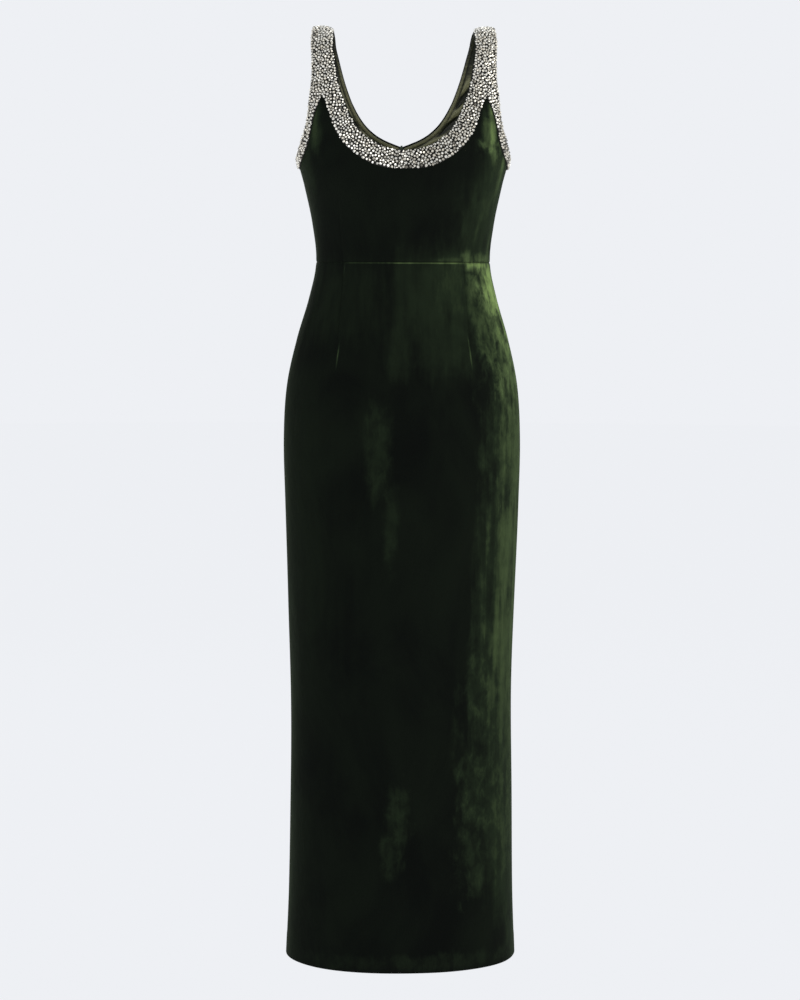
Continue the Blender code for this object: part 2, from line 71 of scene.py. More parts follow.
Level = namedtuple("Level", "drop half_width front back fullness")
LEVELS = [Level(*row) for row in (
    (0, 0.15, 0.062, 0.066, 0.02),
    (0.05, 0.154, 0.074, 0.08, 0.03),
    (0.11, 0.16, 0.092, 0.095, 0.04),
    (0.19, 0.1575, 0.111, 0.103, 0.055),
    (0.235, 0.147, 0.115, 0.101, 0.06),
    (0.29, 0.1355, 0.104, 0.092, 0.045),
    (WAIST_DROP, 0.1298, 0.091, 0.084, 0.035),
    (0.4, 0.14, 0.096, 0.09, 0.035),
    (0.46, 0.1575, 0.104, 0.104, 0.035),
    (0.53, 0.1725, 0.11, 0.118, 0.03),
    (0.61, 0.1775, 0.113, 0.124, 0.03),
    (0.7, 0.1758, 0.114, 0.12, 0.03),
    (0.85, 0.171, 0.112, 0.112, 0.03),
    (1, 0.1675, 0.111, 0.107, 0.03),
    (1.15, 0.169, 0.114, 0.107, 0.03),
    (1.3, 0.1715, 0.118, 0.11, 0.03),
    (HEM_DROP, 0.1755, 0.121, 0.112, 0.03),
)]

# Edges of the pieces, each point by its angle and its drop below the shoulder top
Point = namedtuple("Point", "angle drop")


def through(*places):
    """The points of an edge."""
    return tuple(Point(*place) for place in places)


UNDERARM = Point(90.0, 0.194)
WEDGE = Point(45.6, 0.107)
FRONT_NECK_LOW = Point(0.0, 0.1867)
FRONT_NECK_SIDE = Point(33.0, 0.107)
FRONT_ARM_SIDE = Point(57.0, 0.110)
FRONT_NECK_CURVE = through(
    FRONT_NECK_LOW, (6.5, 0.185), (12.3, 0.1798), (17.6, 0.1716), (23.5, 0.1578), (26.6, 0.144),
    (29.4, 0.129), FRONT_NECK_SIDE,
)
FRONT_NECK_STRAP = through(FRONT_NECK_SIDE, (36, 0.0849), (39.2, 0.0555), (41.2, 0.032), (42, SHOULDER_TOP))
BAND_LOWER_CURVE = through(
    (0, 0.2136), (8, 0.2128), (15.5, 0.2087), (21.6, 0.2007), (28.1, 0.1876), (33.2, 0.173), (36.5, 0.16),
    (39.2, 0.144), (42, 0.125), WEDGE,
)
STRAP_MIDDLE = through(WEDGE, (46.8, 0.08), (48.8, 0.05), (51.2, 0.02), (52.2, SHOULDER_TOP))
FRONT_ARM_CURVE = through(
    UNDERARM, (80, 0.1915), (71.5, 0.1815), (65.8, 0.1693), (61.2, 0.1555), (58.6, 0.1413),
    (57.3, 0.1266), FRONT_ARM_SIDE,
)
FRONT_ARM_STRAP = through(
    FRONT_ARM_SIDE, (56.2, 0.0829), (58.6, 0.0536), (61.8, 0.0237), (62.6, SHOULDER_TOP),
)
ARM_BAND_CURVE = through(
    (90, 0.211), (78, 0.208), (68.9, 0.2), (60.6, 0.186), (56, 0.17), (53.2, 0.1491), (50.8, 0.133),
    (48.4, 0.12), WEDGE,
)
BACK_NECK_SIDE = Point(152.5, 0.107)
BACK_ARM_SIDE = Point(121.5, 0.105)
BACK_STRAP_FOOT = Point(137.0, 0.106)
BACK_NECK_CURVE = through(
    (180, 0.1726), (175.1, 0.1674), (170.2, 0.1616), (165.4, 0.1535), (160.4, 0.1408), (156.2, 0.125),
    BACK_NECK_SIDE,
)
BACK_NECK_STRAP = through(
    BACK_NECK_SIDE, (147, 0.0737), (142.7, 0.0448), (139.6, 0.022), (138, SHOULDER_TOP),
)
BACK_STRAP_MIDDLE = through(BACK_STRAP_FOOT, (134.4, 0.076), (131, 0.045), (127.8, SHOULDER_TOP))
BACK_ARM_CURVE = through(
    UNDERARM, (99, 0.1905), (107.5, 0.179), (113.5, 0.163), (118, 0.145), (120.5, 0.125), BACK_ARM_SIDE,
)
BACK_ARM_STRAP = through(BACK_ARM_SIDE, (121.8, 0.076), (120.5, 0.045), (117.4, SHOULDER_TOP))
FACING_CURVE = through(
    (180, 0.213), (172, 0.2095), (164.5, 0.201), (157, 0.187), (150, 0.168), (144.5, 0.143),
    (139.5, 0.111),
)
FACING_STRAP = through((139.5, 0.111), (135, 0.076), (130, 0.04), (126, SHOULDER_TOP))
FRONT_BODICE_DART = through((41.4, WAIST_DROP), (41.6, 0.3), (38.6, 0.2281))
FRONT_DART_GUIDE = through((38.6, 0.2281), (40.2, 0.17), WEDGE)
FRONT_SKIRT_DART = through((41.4, WAIST_DROP), (38, 0.42), (34.5, 0.4971))
BACK_BODICE_DART = through((139, WAIST_DROP), (139.5, 0.28), (140, 0.225))
BACK_DART_GUIDE = through((140, 0.225), (139.5, 0.16), BACK_STRAP_FOOT)
BACK_SKIRT_DART = through((139, WAIST_DROP), (140.5, 0.405), (142, 0.47))

# How finely the cloth is divided, and how far from a rolled edge its first lines lie
CLOTH_STEP = 0.0052
STRAP_STEP = 0.0036
DART_LINES = np.linspace(0.0, 1.0, 6)
ROLL_LINES = (0.00010, 0.00028, 0.00055, 0.00095, 0.0016, 0.0026, 0.0040)
MERGE = 1e-5
TURN_OVER = 0.0022           # how far velvet rolls over an edge before its lining starts

# Creases and soft folds: where the middle of each is, how long and how wide,
# how high it stands (below zero for a trough), and how far it leans from upright
Crease = namedtuple("Crease", "angle drop length width height lean")
CREASES = [Crease(*row) for row in (
    # the front, as it shows
    (68, 0.334, 0.03, 0.004, -0.0013, 35),
    (77, 0.33, 0.034, 0.005, 0.001, 20),
    (57, 0.34, 0.03, 0.0036, -0.0007, 70),
    (50, 0.158, 0.026, 0.0032, -0.0008, 78),
    (52, 0.169, 0.03, 0.0036, 0.0006, 74),
    (-46, 0.147, 0.024, 0.003, -0.0008, -82),
    (-48, 0.156, 0.028, 0.0036, 0.0006, -80),
    (61, 0.41, 0.15, 0.0085, -0.0011, -12),
    (70, 0.435, 0.18, 0.01, 0.001, -10),
    (52, 0.47, 0.15, 0.008, 0.0007, -6),
    (64, 0.56, 0.12, 0.009, -0.0009, -4),
    (-14, 0.71, 0.26, 0.012, 0.0006, 3),
    (-8, 1.215, 0.2, 0.012, 0.0006, -2),
    (56, 0.86, 0.24, 0.011, 0.0008, 2),
    (66, 1.03, 0.28, 0.01, -0.0009, -2),
    (58, 1.23, 0.2, 0.01, 0.0008, 3),
    (-58, 0.42, 0.14, 0.009, -0.0008, 12),
    (-67, 0.45, 0.15, 0.01, 0.0007, 10),
    (-62, 0.94, 0.26, 0.011, 0.0007, -2),
    # the sides and the back, of the same kinds
    (96, 0.325, 0.032, 0.0046, -0.001, -30),
    (-94, 0.328, 0.03, 0.0044, -0.0009, 34),
    (118, 0.315, 0.046, 0.005, -0.0011, 72),
    (-121, 0.32, 0.05, 0.0054, -0.0011, -75),
    (125, 0.298, 0.04, 0.0046, 0.0007, 68),
    (-127, 0.306, 0.036, 0.0046, 0.0007, -70),
    (160, 0.324, 0.05, 0.0052, -0.001, 80),
    (-158, 0.312, 0.056, 0.0056, -0.001, -78),
    (-163, 0.289, 0.04, 0.0046, 0.0007, -80),
    (112, 0.206, 0.034, 0.004, -0.0009, 60),
    (-110, 0.21, 0.032, 0.004, -0.0009, -62),
    (108, 0.43, 0.16, 0.01, -0.001, 8),
    (-106, 0.45, 0.17, 0.01, -0.0009, -9),
    (151, 0.74, 0.2, 0.011, -0.0011, 6),
    (-149, 0.76, 0.22, 0.012, -0.0011, -7),
    (163, 0.79, 0.24, 0.012, 0.0009, 4),
    (-166, 0.81, 0.23, 0.012, 0.0009, -4),
    (122, 1.02, 0.28, 0.012, 0.0009, -2),
    (-124, 0.98, 0.26, 0.012, 0.0009, 3),
    (145, 1.2, 0.24, 0.012, -0.0008, 2),
    (-140, 1.23, 0.22, 0.012, -0.0008, -2),
)]

# Slow waves of the cloth: how many round the body and down each metre, and how high
Wave = namedtuple("Wave", "turns per_metre phase height")
WAVES = (
    Wave(3, 1.1, 0.6, 0.00035), Wave(5, 2.3, 2.1, 0.00028),
    Wave(8, 0.9, 4.0, 0.00022), Wave(11, 3.1, 1.3, 0.00014),
)

# Patches of painted sheen and highlight, where the lights fall and most from the right, over nap
# that leans the light way: the middle of each, half its width and length, how strongly it is painted,
# and how mottled it is (0 is smoothly streaked, 1 is crushed)
Patch = namedtuple("Patch", "angle drop width length strength mottle", defaults=(0.25,))
NAP_AND_SHEEN_PATCHES = [Patch(*row) for row in (
    # the right of the front bodice, and the wedge between the bands
    (66, 0.27, 0.056, 0.085, 0.145, 0.15),
    (62, 0.225, 0.033, 0.036, 0.15, 0.2),
    (50.6, 0.15, 0.0084, 0.034, 0.7, 0.25),
    (45.8, 0.156, 0.008, 0.022, 0.24, 0.3),
    (46.5, 0.179, 0.013, 0.011, 0.44, 0.85),
    (55.5, 0.187, 0.011, 0.015, 0.46, 0.85),
    (66, 0.215, 0.007, 0.03, 0.85, 0.15),
    (70, 0.322, 0.005, 0.016, 0.32, 0.4),
    (-52, 0.148, 0.012, 0.042, 0.17),
    (-64, 0.21, 0.02, 0.036, 0.07, 0.15),
    # the waist seam, with painted highlights along it and beside it on the right
    (-28, 0.3484, 0.033, 0.0008, 0.3),
    (8, 0.3484, 0.046, 0.001, 0.6),
    (30, 0.3484, 0.03, 0.0012, 0.95),
    (30, 0.344, 0.026, 0.0036, 0.22, 0.4),
    (42.5, 0.342, 0.008, 0.011, 0.46, 0.5),
    (60, 0.34, 0.03, 0.007, 0.34, 0.7),
    (56, 0.352, 0.028, 0.0062, 1, 0.35),
    (46.5, 0.3535, 0.009, 0.005, 1, 0.1),
    # painted highlights on the darts' pressed edges
    (-40.2, 0.359, 0.0009, 0.01, 0.2),
    (-35.1, 0.484, 0.001, 0.015, 0.28),
    (35.6, 0.476, 0.0011, 0.022, 0.36),
    # the hip and the top of the skirt
    (70, 0.382, 0.033, 0.038, 1, 0.4),
    (84, 0.425, 0.038, 0.056, 1, 0.4),
    (49, 0.38, 0.013, 0.024, 0.4, 0.8),
    (60, 0.425, 0.022, 0.04, 0.42, 0.7),
    (73, 0.5, 0.058, 0.06, 0.47, 0.5),
    (49, 0.45, 0.021, 0.05, 0.23, 0.5),
    (31, 0.385, 0.036, 0.052, 0.18, 0.2),
    (12, 0.4, 0.038, 0.062, 0.085, 0.15),
    (-2, 0.47, 0.015, 0.042, 0.075, 0.3),
    (-38, 0.405, 0.052, 0.056, 0.055, 0.1),
    (-40, 0.76, 0.046, 0.17, 0.016, 0.1),
    (22, 0.465, 0.034, 0.044, 0.095, 0.25),
    # the long band down the right of the skirt
    (74, 0.62, 0.066, 0.1, 0.31, 0.25),
    (72, 0.77, 0.066, 0.1, 0.31, 0.15),
    (70.5, 0.91, 0.065, 0.08, 0.29, 0.15),
    (70, 1.01, 0.07, 0.08, 0.25, 0.25),
    (70, 1.09, 0.06, 0.07, 0.17, 0.35),
    (68, 1.19, 0.064, 0.09, 0.18, 0.35),
    (72, 1.27, 0.05, 0.06, 0.13, 0.3),
    (40, 0.97, 0.016, 0.05, 0.1, 0.7),
    (39, 1.13, 0.022, 0.06, 0.12, 0.75),
    (38, 1.23, 0.02, 0.05, 0.11, 0.75),
    (78, 1.36, 0.035, 0.034, 0.13, 0.3),
    # streaks in the middle, and the turned-up hem
    (-12.5, 0.63, 0.014, 0.062, 0.1, 0.5),
    (-6, 0.73, 0.008, 0.05, 0.07, 0.5),
    (-2.5, 1.17, 0.0125, 0.046, 0.12, 0.55),
    (-7, 1.22, 0.009, 0.034, 0.08, 0.6),
    (26, 1.385, 0.08, 0.011, 0.055, 0.7),
    (-30, 1.387, 0.05, 0.01, 0.04, 0.7),
    # round the right side and the back
    (112, 0.255, 0.042, 0.075, 0.13, 0.2),
    (106, 0.405, 0.05, 0.056, 0.5, 0.8),
    (103, 0.49, 0.036, 0.064, 0.32, 0.65),
    (126, 0.46, 0.018, 0.042, 0.2, 0.8),
    (110, 0.61, 0.052, 0.09, 0.24, 0.3),
    (104, 0.79, 0.038, 0.12, 0.24, 0.15),
    (127, 0.75, 0.014, 0.07, 0.1, 0.6),
    (112, 0.96, 0.05, 0.09, 0.2, 0.25),
    (102, 1.13, 0.036, 0.1, 0.15, 0.4),
    (122, 1.17, 0.016, 0.06, 0.08, 0.7),
    (102, 1.27, 0.04, 0.07, 0.11, 0.3),
    (158, 0.41, 0.048, 0.052, 0.1, 0.5),
    (146, 0.48, 0.03, 0.056, 0.07, 0.6),
    (172, 0.63, 0.016, 0.09, 0.05, 0.5),
    (159, 1.13, 0.014, 0.05, 0.07, 0.6),
    (150, 0.28, 0.032, 0.05, 0.06, 0.3),
    # round the left side and the back
    (-109, 0.245, 0.026, 0.06, 0.1, 0.2),
    (-113, 0.42, 0.034, 0.07, 0.27, 0.75),
    (-107, 0.57, 0.026, 0.1, 0.17, 0.4),
    (-128, 0.52, 0.016, 0.06, 0.1, 0.7),
    (-114, 0.82, 0.036, 0.13, 0.15, 0.2),
    (-107, 1.05, 0.026, 0.11, 0.13, 0.3),
    (-112, 1.24, 0.028, 0.08, 0.1, 0.3),
    (-167, 0.45, 0.033, 0.056, 0.08, 0.55),
    (-150, 0.82, 0.013, 0.08, 0.05, 0.5),
    # the seams and darts there
    (138, 0.3484, 0.06, 0.0009, 0.34),
    (-150, 0.3484, 0.05, 0.0009, 0.26),
    (142, 0.456, 0.0011, 0.016, 0.32),
    (-142, 0.456, 0.0011, 0.016, 0.24),
)]
PATCH_EDGE = 1.6             # how softly a patch fades, as a share of its half size


# ---- The body form -------------------------------------------------------------------------

RUN_STEP, ANGLE_STEP = 1e-4, 0.05      # the steps, in metres and degrees, that give its direction


def eased(xs, ys, x):
    """The values at x of a smooth curve through the points (xs, ys)."""
    xs, ys, x = np.asarray(xs, float), np.asarray(ys, float), np.asarray(x, float)
    slope = np.empty_like(ys)
    slope[1:-1] = (ys[2:] - ys[:-2]) / (xs[2:] - xs[:-2])
    slope[0] = (ys[1] - ys[0]) / (xs[1] - xs[0])
    slope[-1] = (ys[-1] - ys[-2]) / (xs[-1] - xs[-2])
    i = np.clip(np.searchsorted(xs, x) - 1, 0, len(xs) - 2)
    span = xs[i + 1] - xs[i]
    t = (x - xs[i]) / span
    return (
        (1 + 2 * t) * (1 - t) ** 2 * ys[i]
        + t * (1 - t) ** 2 * span * slope[i]
        + t * t * (3 - 2 * t) * ys[i + 1]
        + t * t * (t - 1) * span * slope[i + 1]
    )


def measures_at(drop):
    """(half width, front depth, back depth, fullness) of the body at each drop."""
    drops = [level.drop for level in LEVELS]
    return [eased(drops, [level[k] for level in LEVELS], drop) for k in range(1, 5)]


def run_of(drop):
    """How far down the cloth itself a drop is, over the curve of the shoulder."""
    drop = np.asarray(drop, float)
    over = np.arccos(np.clip((SHOULDER_ARCH - drop) / ARCH_RISE, -1.0, 1.0)) * ARCH_RISE
    return np.where(drop < SHOULDER_ARCH, over, drop - SHOULDER_ARCH + ARCH_RISE * math.pi / 2)


def drop_of(run):
    """How far below the origin a run down the cloth is."""
    turned = np.minimum(run / ARCH_RISE, math.pi / 2)
    return SHOULDER_ARCH - ARCH_RISE * np.cos(turned) + np.maximum(run - ARCH_RISE * math.pi / 2, 0.0)


def body_points(run, angle):
    """Points of the body's surface, one for each run and angle."""
    turned = np.minimum(run / ARCH_RISE, math.pi / 2)
    drop = drop_of(run)
    half_width, front, back, fullness = measures_at(drop)
    round_body = np.radians(angle)
    squared = 1 + fullness * np.sin(2 * round_body) ** 2
    depth = np.where(np.abs(angle) <= 90, front, back)
    return np.stack([
        half_width * np.sin(round_body) * squared,
        -depth * np.sin(turned) * np.cos(round_body) * squared,
        -drop,
    ], axis=-1)


def outward(run, angle):
    """The surface's outward direction at each run and angle."""
    down = body_points(run + RUN_STEP, angle) - body_points(run - RUN_STEP, angle)
    across = body_points(run, angle + ANGLE_STEP) - body_points(run, angle - ANGLE_STEP)
    normal = np.cross(down, across)
    return normal / np.linalg.norm(normal, axis=-1, keepdims=True)


def radius_at(drop):
    """A round radius that turns an angle into a distance round the body."""
    half_width, front, back, _ = measures_at(drop)
    return (half_width + (front + back) / 2) / 2


def around(angle, middle):
    """How far an angle is from another, the short way round, in degrees."""
    return (angle - middle + 180.0) % 360.0 - 180.0


def bump(x):
    """One in the middle, falling softly to nothing."""
    return np.exp(-x * x)


def ramp(x):
    """Nothing below zero, one above one, smooth between."""
    x = np.clip(x, 0.0, 1.0)
    return x * x * (3 - 2 * x)


# ---- Relief and nap ------------------------------------------------------------------------

DARTS = tuple(
    (side, line)
    for side in (1.0, -1.0)
    for line in (FRONT_BODICE_DART, FRONT_SKIRT_DART, BACK_BODICE_DART, BACK_SKIRT_DART)
)
STRAP_MIDLINE = 52.3      # the middle of a strap's top, as an angle from the centre front or back
STRAP_SPREAD = 10.3       # half the strap's width there, in degrees
STRAP_FALL = (0.0062, 0.0040)   # how far its top falls away toward the neck and toward the arm
STRAP_FALL_LENGTH = 0.030
DART_DEPTH = 0.0007
DART_LINE = 0.0011        # half the width of a dart's stitched valley
DART_GROWTH = 2.4         # how soon it is full deep from its tip, as lengths of the dart
DART_SWELL, DART_SHOULDER, DART_SHOULDER_WIDTH = 0.3, 0.0042, 0.003    # the cloth swells beside it
FRONT_DART_SHOWS = 0.45   # the front bodice's darts are pressed nearly flat
# painted shade in a dart's valley, beside that in a seam's
DART_SHADE = 0.4          # how dark a dart's line is beside a seam's
SEAM_DEPTH = 0.0007
SEAM_LINE = 0.0022
SEAM_TOP = 0.020          # the side seams fade out over the shoulder
ZIP_SEAM_START = 0.200    # the slider stands above this, so the cloth is level there
SEAM_FADE = 0.03
HEM_TURN = 0.034
HEM_LIFT, HEM_EDGE = 0.0003, 0.003     # how far the turned hem stands out, and its upper edge's width
WAVES_START, WAVES_GROW = 0.16, 0.10   # where the slow waves begin
ZIP_FLAT_ANGLE, ZIP_FLAT_END, ZIP_FLAT_FADE = 12.0, 0.25, 0.1    # where there are none, by the slider


def dart_share(drop, angle, side, line):
    """(distance across a dart in metres, how strongly it is sewn there)."""
    drops = [point.drop for point in line]
    order = np.argsort(drops)
    middle = eased(np.take(drops, order), np.take([point.angle for point in line], order), drop)
    across = np.radians(around(angle, side * middle)) * radius_at(drop)
    waist, tip = line[0].drop, line[-1].drop
    sewn = ramp((drop - tip) / (waist - tip) * DART_GROWTH)
    if line is FRONT_BODICE_DART:
        sewn = sewn * FRONT_DART_SHOWS
    inside = (drop - waist) * (drop - tip) <= 0
    return across, np.where(inside, sewn, 0.0)


def seams(drop, angle):
    """How deep a pressed seam lies at each place, from 0 to 1."""
    radius = radius_at(drop)
    waist = bump((drop - WAIST_DROP) / SEAM_LINE)
    side = bump(np.radians(np.abs(np.abs(angle) - 90)) * radius / SEAM_LINE)
    back = bump(np.radians(np.abs(around(angle, 180.0))) * radius / SEAM_LINE)
    back = back * ramp((drop - ZIP_SEAM_START) / SEAM_FADE)
    return np.maximum(np.maximum(waist, side * ramp((drop - SEAM_TOP) / SEAM_FADE)), back)


def seam_shade(drop, angle):
    """How much painted shade each place takes, by how close it is to a seam or a dart's line, from 0 to 1."""
    found = seams(drop, angle) ** 3
    for side, line in DARTS:
        across, sewn = dart_share(drop, angle, side, line)
        found = np.maximum(found, bump(across / DART_LINE) * sewn * DART_SHADE)
    return found


def creased(drop, angle, creases):
    """How far soft creases lift the cloth."""
    height = np.zeros_like(drop)
    radius = radius_at(drop)
    for crease in creases:
        lean = math.radians(crease.lean)
        across = np.radians(around(angle, crease.angle)) * radius
        down = drop - crease.drop
        off_line = across * math.cos(lean) + down * math.sin(lean)
        along = -across * math.sin(lean) + down * math.cos(lean)
        fade = np.clip(1 - (along / (crease.length / 2)) ** 2, 0.0, 1.0) ** 2
        height = height + crease.height * bump(off_line / crease.width) * fade
    return height


def strap_fall(drop, angle):
    """How far the top of a strap falls away toward its edges, where it bends over the shoulder."""
    off = (90 - np.abs(np.abs(angle) - 90) - STRAP_MIDLINE) / STRAP_SPREAD
    neck, arm = STRAP_FALL
    fall = np.where(off < 0, neck * np.abs(off) ** 3, arm * np.abs(off) ** 4)
    return fall * (1 - ramp(drop / STRAP_FALL_LENGTH))


def relief(run, angle):
    """How far the worn cloth stands off its plain form."""
    drop = drop_of(run)
    height = -SEAM_DEPTH * seams(drop, angle) - strap_fall(drop, angle)
    for side, line in DARTS:
        across, sewn = dart_share(drop, angle, side, line)
        shoulder = bump((np.abs(across) - DART_SHOULDER) / DART_SHOULDER_WIDTH)
        valley = DART_SWELL * DART_DEPTH * shoulder - DART_DEPTH * bump(across / DART_LINE)
        height = height + valley * sewn
    height = height + creased(drop, angle, CREASES)
    slow = np.zeros_like(height)
    for wave in WAVES:
        turn = np.radians(angle) * wave.turns + drop * wave.per_metre * math.tau + wave.phase
        slow = slow + wave.height * np.sin(turn)
    hem = HEM_LIFT * ramp((drop - (HEM_DROP - HEM_TURN)) / HEM_EDGE)
    off_zip = np.abs(around(angle, 180.0)) / ZIP_FLAT_ANGLE + (drop - ZIP_FLAT_END) / ZIP_FLAT_FADE
    return height + hem + slow * ramp((drop - WAVES_START) / WAVES_GROW) * ramp(off_zip)


def nap_and_sheen_patches(run, angle):
    """How surely each place is in a patch of painted sheen and highlight, how strongly painted and how
    mottled.
    """
    drop = drop_of(run)
    radius = radius_at(drop)
    cover, weight = np.zeros_like(drop), np.full_like(drop, 1e-6)
    strength, mottle = np.zeros_like(drop), np.zeros_like(drop)
    for patch in NAP_AND_SHEEN_PATCHES:
        across = np.radians(around(angle, patch.angle)) * radius / patch.width
        down = (drop - patch.drop) / patch.length
        squarish = np.cbrt(np.abs(across) ** 3 + np.abs(down) ** 3)
        share = ramp((1 + PATCH_EDGE / 2 - squarish) / PATCH_EDGE)
        cover = np.maximum(cover, share)
        weight = weight + share**2
        strength = strength + patch.strength * share**2
        mottle = mottle + patch.mottle * share**2
    return cover, strength / weight, mottle / weight


# ---- Laying cloth over the form ------------------------------------------------------------

ALL_ROUND = {"start": 0, "end": 0, "low": 0, "high": 0}   # a net's cut sides, each with its first cut row
Half = namedtuple("Half", "lines columns rows side open_sides corner goes_down", defaults=(None, False))


def edge(points):
    """A smooth edge through points: a function from shares of its length to runs and angles."""
    runs = run_of([point.drop for point in points])
    angles = np.array([point.angle for point in points])
    apart = np.linalg.norm(np.diff(body_points(runs, angles), axis=0), axis=1)
    lengths = np.concatenate(([0.0], np.cumsum(apart)))

    def at(share):
        return np.stack([
            eased(lengths, runs, share * lengths[-1]),
            eased(lengths, angles, share * lengths[-1]),
        ])

    at.length = lengths[-1]
    return at


def beside(points, distance):
    """The same edge moved round the body by a distance."""
    moved = []
    for point in points:
        half_width, front, _, _ = measures_at(point.drop)
        turned = math.degrees(2 * distance / (half_width + front))
        moved.append(point._replace(angle=point.angle + turned))
    return moved


def spread(length, step, start=False, end=False):
    """Shares of a length, about a step apart, with closer ones by a rolled edge."""
    first = (0.0, *ROLL_LINES[:-1]) if start else ()
    last = [length - d for d in reversed((0.0, *ROLL_LINES[:-1]))] if end else ()
    low = ROLL_LINES[-1] if start else 0.0
    high = length - ROLL_LINES[-1] if end else length
    count = max(round((high - low) / step), 2)
    return np.concatenate((first, np.linspace(low, high, count + 1), last)) / length


def centre_line(angle, low_drop, high_drop):
    """A straight seam up the body at one angle."""
    return (Point(angle, low_drop), Point(angle, (low_drop + high_drop) / 2), Point(angle, high_drop))


def net(lines, columns, rows):
    """(runs, angles) of a net of places: lines are guides, each a list of edges by section."""
    levels = []
    for section, shares in enumerate(rows):
        shares = shares if section == 0 else shares[1:]
        across = []
        for strip, parts in enumerate(columns):
            low, high = lines[strip][section](shares), lines[strip + 1][section](shares)
            parts = parts if strip == 0 else parts[1:]
            across.append(low[:, :, None] + (high - low)[:, :, None] * parts[None, None, :])
        levels.append(np.concatenate(across, axis=2))
    joined = np.concatenate(levels, axis=1)
    return joined[0], joined[1]


def edge_distance(points, open_sides, corner):
    """How far each place of a net is from the nearest cut edge, along the cloth."""
    from_start, from_low = (
        np.pad(np.cumsum(np.linalg.norm(np.diff(points, axis=axis), axis=2), axis=axis), padding)
        for axis, padding in ((1, ((0, 0), (1, 0))), (0, ((1, 0), (0, 0))))
    )
    away = {
        "start": from_start, "end": from_start[:, -1:] - from_start,
        "low": from_low, "high": from_low[-1:] - from_low,
    }
    found = np.full(points.shape[:2], np.inf)
    for side, first_row in open_sides.items():
        found[first_row:] = np.minimum(found[first_row:], away[side][first_row:])
    if corner is not None:
        found = np.minimum(found, np.linalg.norm(points - corner, axis=2))
    return found


def as_mesh(solid, name):
    """A mesh of a bmesh's form. The bmesh is freed."""
    mesh = bpy.data.meshes.new(name)
    solid.to_mesh(mesh)
    solid.free()
    return mesh


def stamp(solid, mesh, move):
    """Adds a moved copy of a mesh to a bmesh, and returns the copy's vertices."""
    before = len(solid.verts)
    solid.from_mesh(mesh)
    solid.verts.ensure_lookup_table()
    added = solid.verts[before:]
    for vertex in added:
        vertex.co = move @ vertex.co
    return added


def turned_to(x, y, z):
    """A matrix whose axes lie along three directions."""
    return Matrix((x, y, z)).transposed().to_4x4()


def grid_mesh(points, runs, angles, painted, flip, under):
    """A grid over a net of points, with its map in metres, its painted values and its underside."""
    rows, columns = points.shape[0] - 1, points.shape[1] - 1
    sheet = bmesh.new()
    bmesh.ops.create_grid(sheet, x_segments=columns, y_segments=rows, size=0.5)
    mesh = as_mesh(sheet, "sheet")
    flat = np.empty(len(mesh.vertices) * 3)
    mesh.vertices.foreach_get("co", flat)
    column, row, _ = np.rint((flat.reshape(-1, 3) + 0.5) * (columns, rows, 0)).astype(int).T
    run, angle = runs[row, column], angles[row, column]
    mesh.vertices.foreach_set("co", points[row, column].ravel())
    for name, values in painted.items():
        layer = mesh.attributes.new(name, "FLOAT", "POINT")
        layer.data.foreach_set("value", values[row, column].astype(np.float32))
    corners = np.empty(len(mesh.loops), int)
    mesh.loops.foreach_get("vertex_index", corners)
    distance = np.radians(angle) * radius_at(drop_of(run))
    place = np.stack([distance, -run], axis=-1)[corners]
    mesh.uv_layers.new(name="cloth").data.foreach_set("uv", place.astype(np.float32).ravel())
    corners_under = under[row, column][corners].reshape(-1, 4)
    mesh.polygons.foreach_set("material_index", corners_under.all(axis=1).astype(np.int32))
    if flip:
        mesh.flip_normals()
    return mesh


def walled(halves, low_lift, high_lift, own_relief=None):
    """Closed cloth with rolled edges, from one or two nets: outer side first, then inner."""
    solid = bmesh.new()
    middle, half_thick = (low_lift + high_lift) / 2, (high_lift - low_lift) / 2
    for half in halves:
        runs, angles = net(half.lines, half.columns, half.rows)
        angles = angles * half.side
        drops = drop_of(runs)
        plain, normal = body_points(runs, angles), outward(runs, angles)
        stands = relief(runs, angles)
        corner = half.corner and body_points(run_of(half.corner.drop), half.corner.angle)
        away = edge_distance(plain, half.open_sides, corner)
        # the velvet's patches of painted sheen and highlight, over the nap's mottling
        painted = dict(zip(("nap_and_painted_light", "strength", "mottle"), nap_and_sheen_patches(runs, angles)))
        # painted shade in the valleys of the seams and darts
        painted["sewn"] = seam_shade(drops, angles)
        if own_relief:
            own = own_relief(drops, angles, away)
            stands = stands + own
            in_shade = 0.5 * (1 - ramp(drops / FACING_SHADE_END))
            # on the facing the same value is painted shade instead: dark in the folds' troughs and high
            # inside the strap
            painted["nap_and_painted_light"] = np.clip(0.5 + own / FACING_SWING + in_shade, 0.0, 1.0)
        round_edge = np.sqrt(1 - (1 - np.clip(away / half_thick, 0.0, 1.0)) ** 2) * half_thick
        turned_over = (half.side < 0) != half.goes_down
        for sign in (1, -1):
            lift = stands + middle + sign * round_edge
            placed = plain + normal * lift[:, :, None]
            under = (away > TURN_OVER) & (sign < 0)
            mesh = grid_mesh(placed, runs, angles, painted, turned_over != (sign < 0), under)
            solid.from_mesh(mesh)
            bpy.data.meshes.remove(mesh)
    bmesh.ops.remove_doubles(solid, verts=solid.verts, dist=MERGE)
    return solid


def piece(name, solid, materials, node=None, body="dress", smooth=True):
    """A finished piece from a bmesh: named, riding, and standing for its solid."""
    mesh = as_mesh(solid, name)
    for material in materials:
        mesh.materials.append(material)
    if smooth:
        mesh.shade_smooth()
    made = bpy.data.objects.new(name, mesh)
    bpy.context.scene.collection.objects.link(made)
    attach(made, body)
    if node:
        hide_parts(node)
    return made


# ---- Materials -----------------------------------------------------------------------------


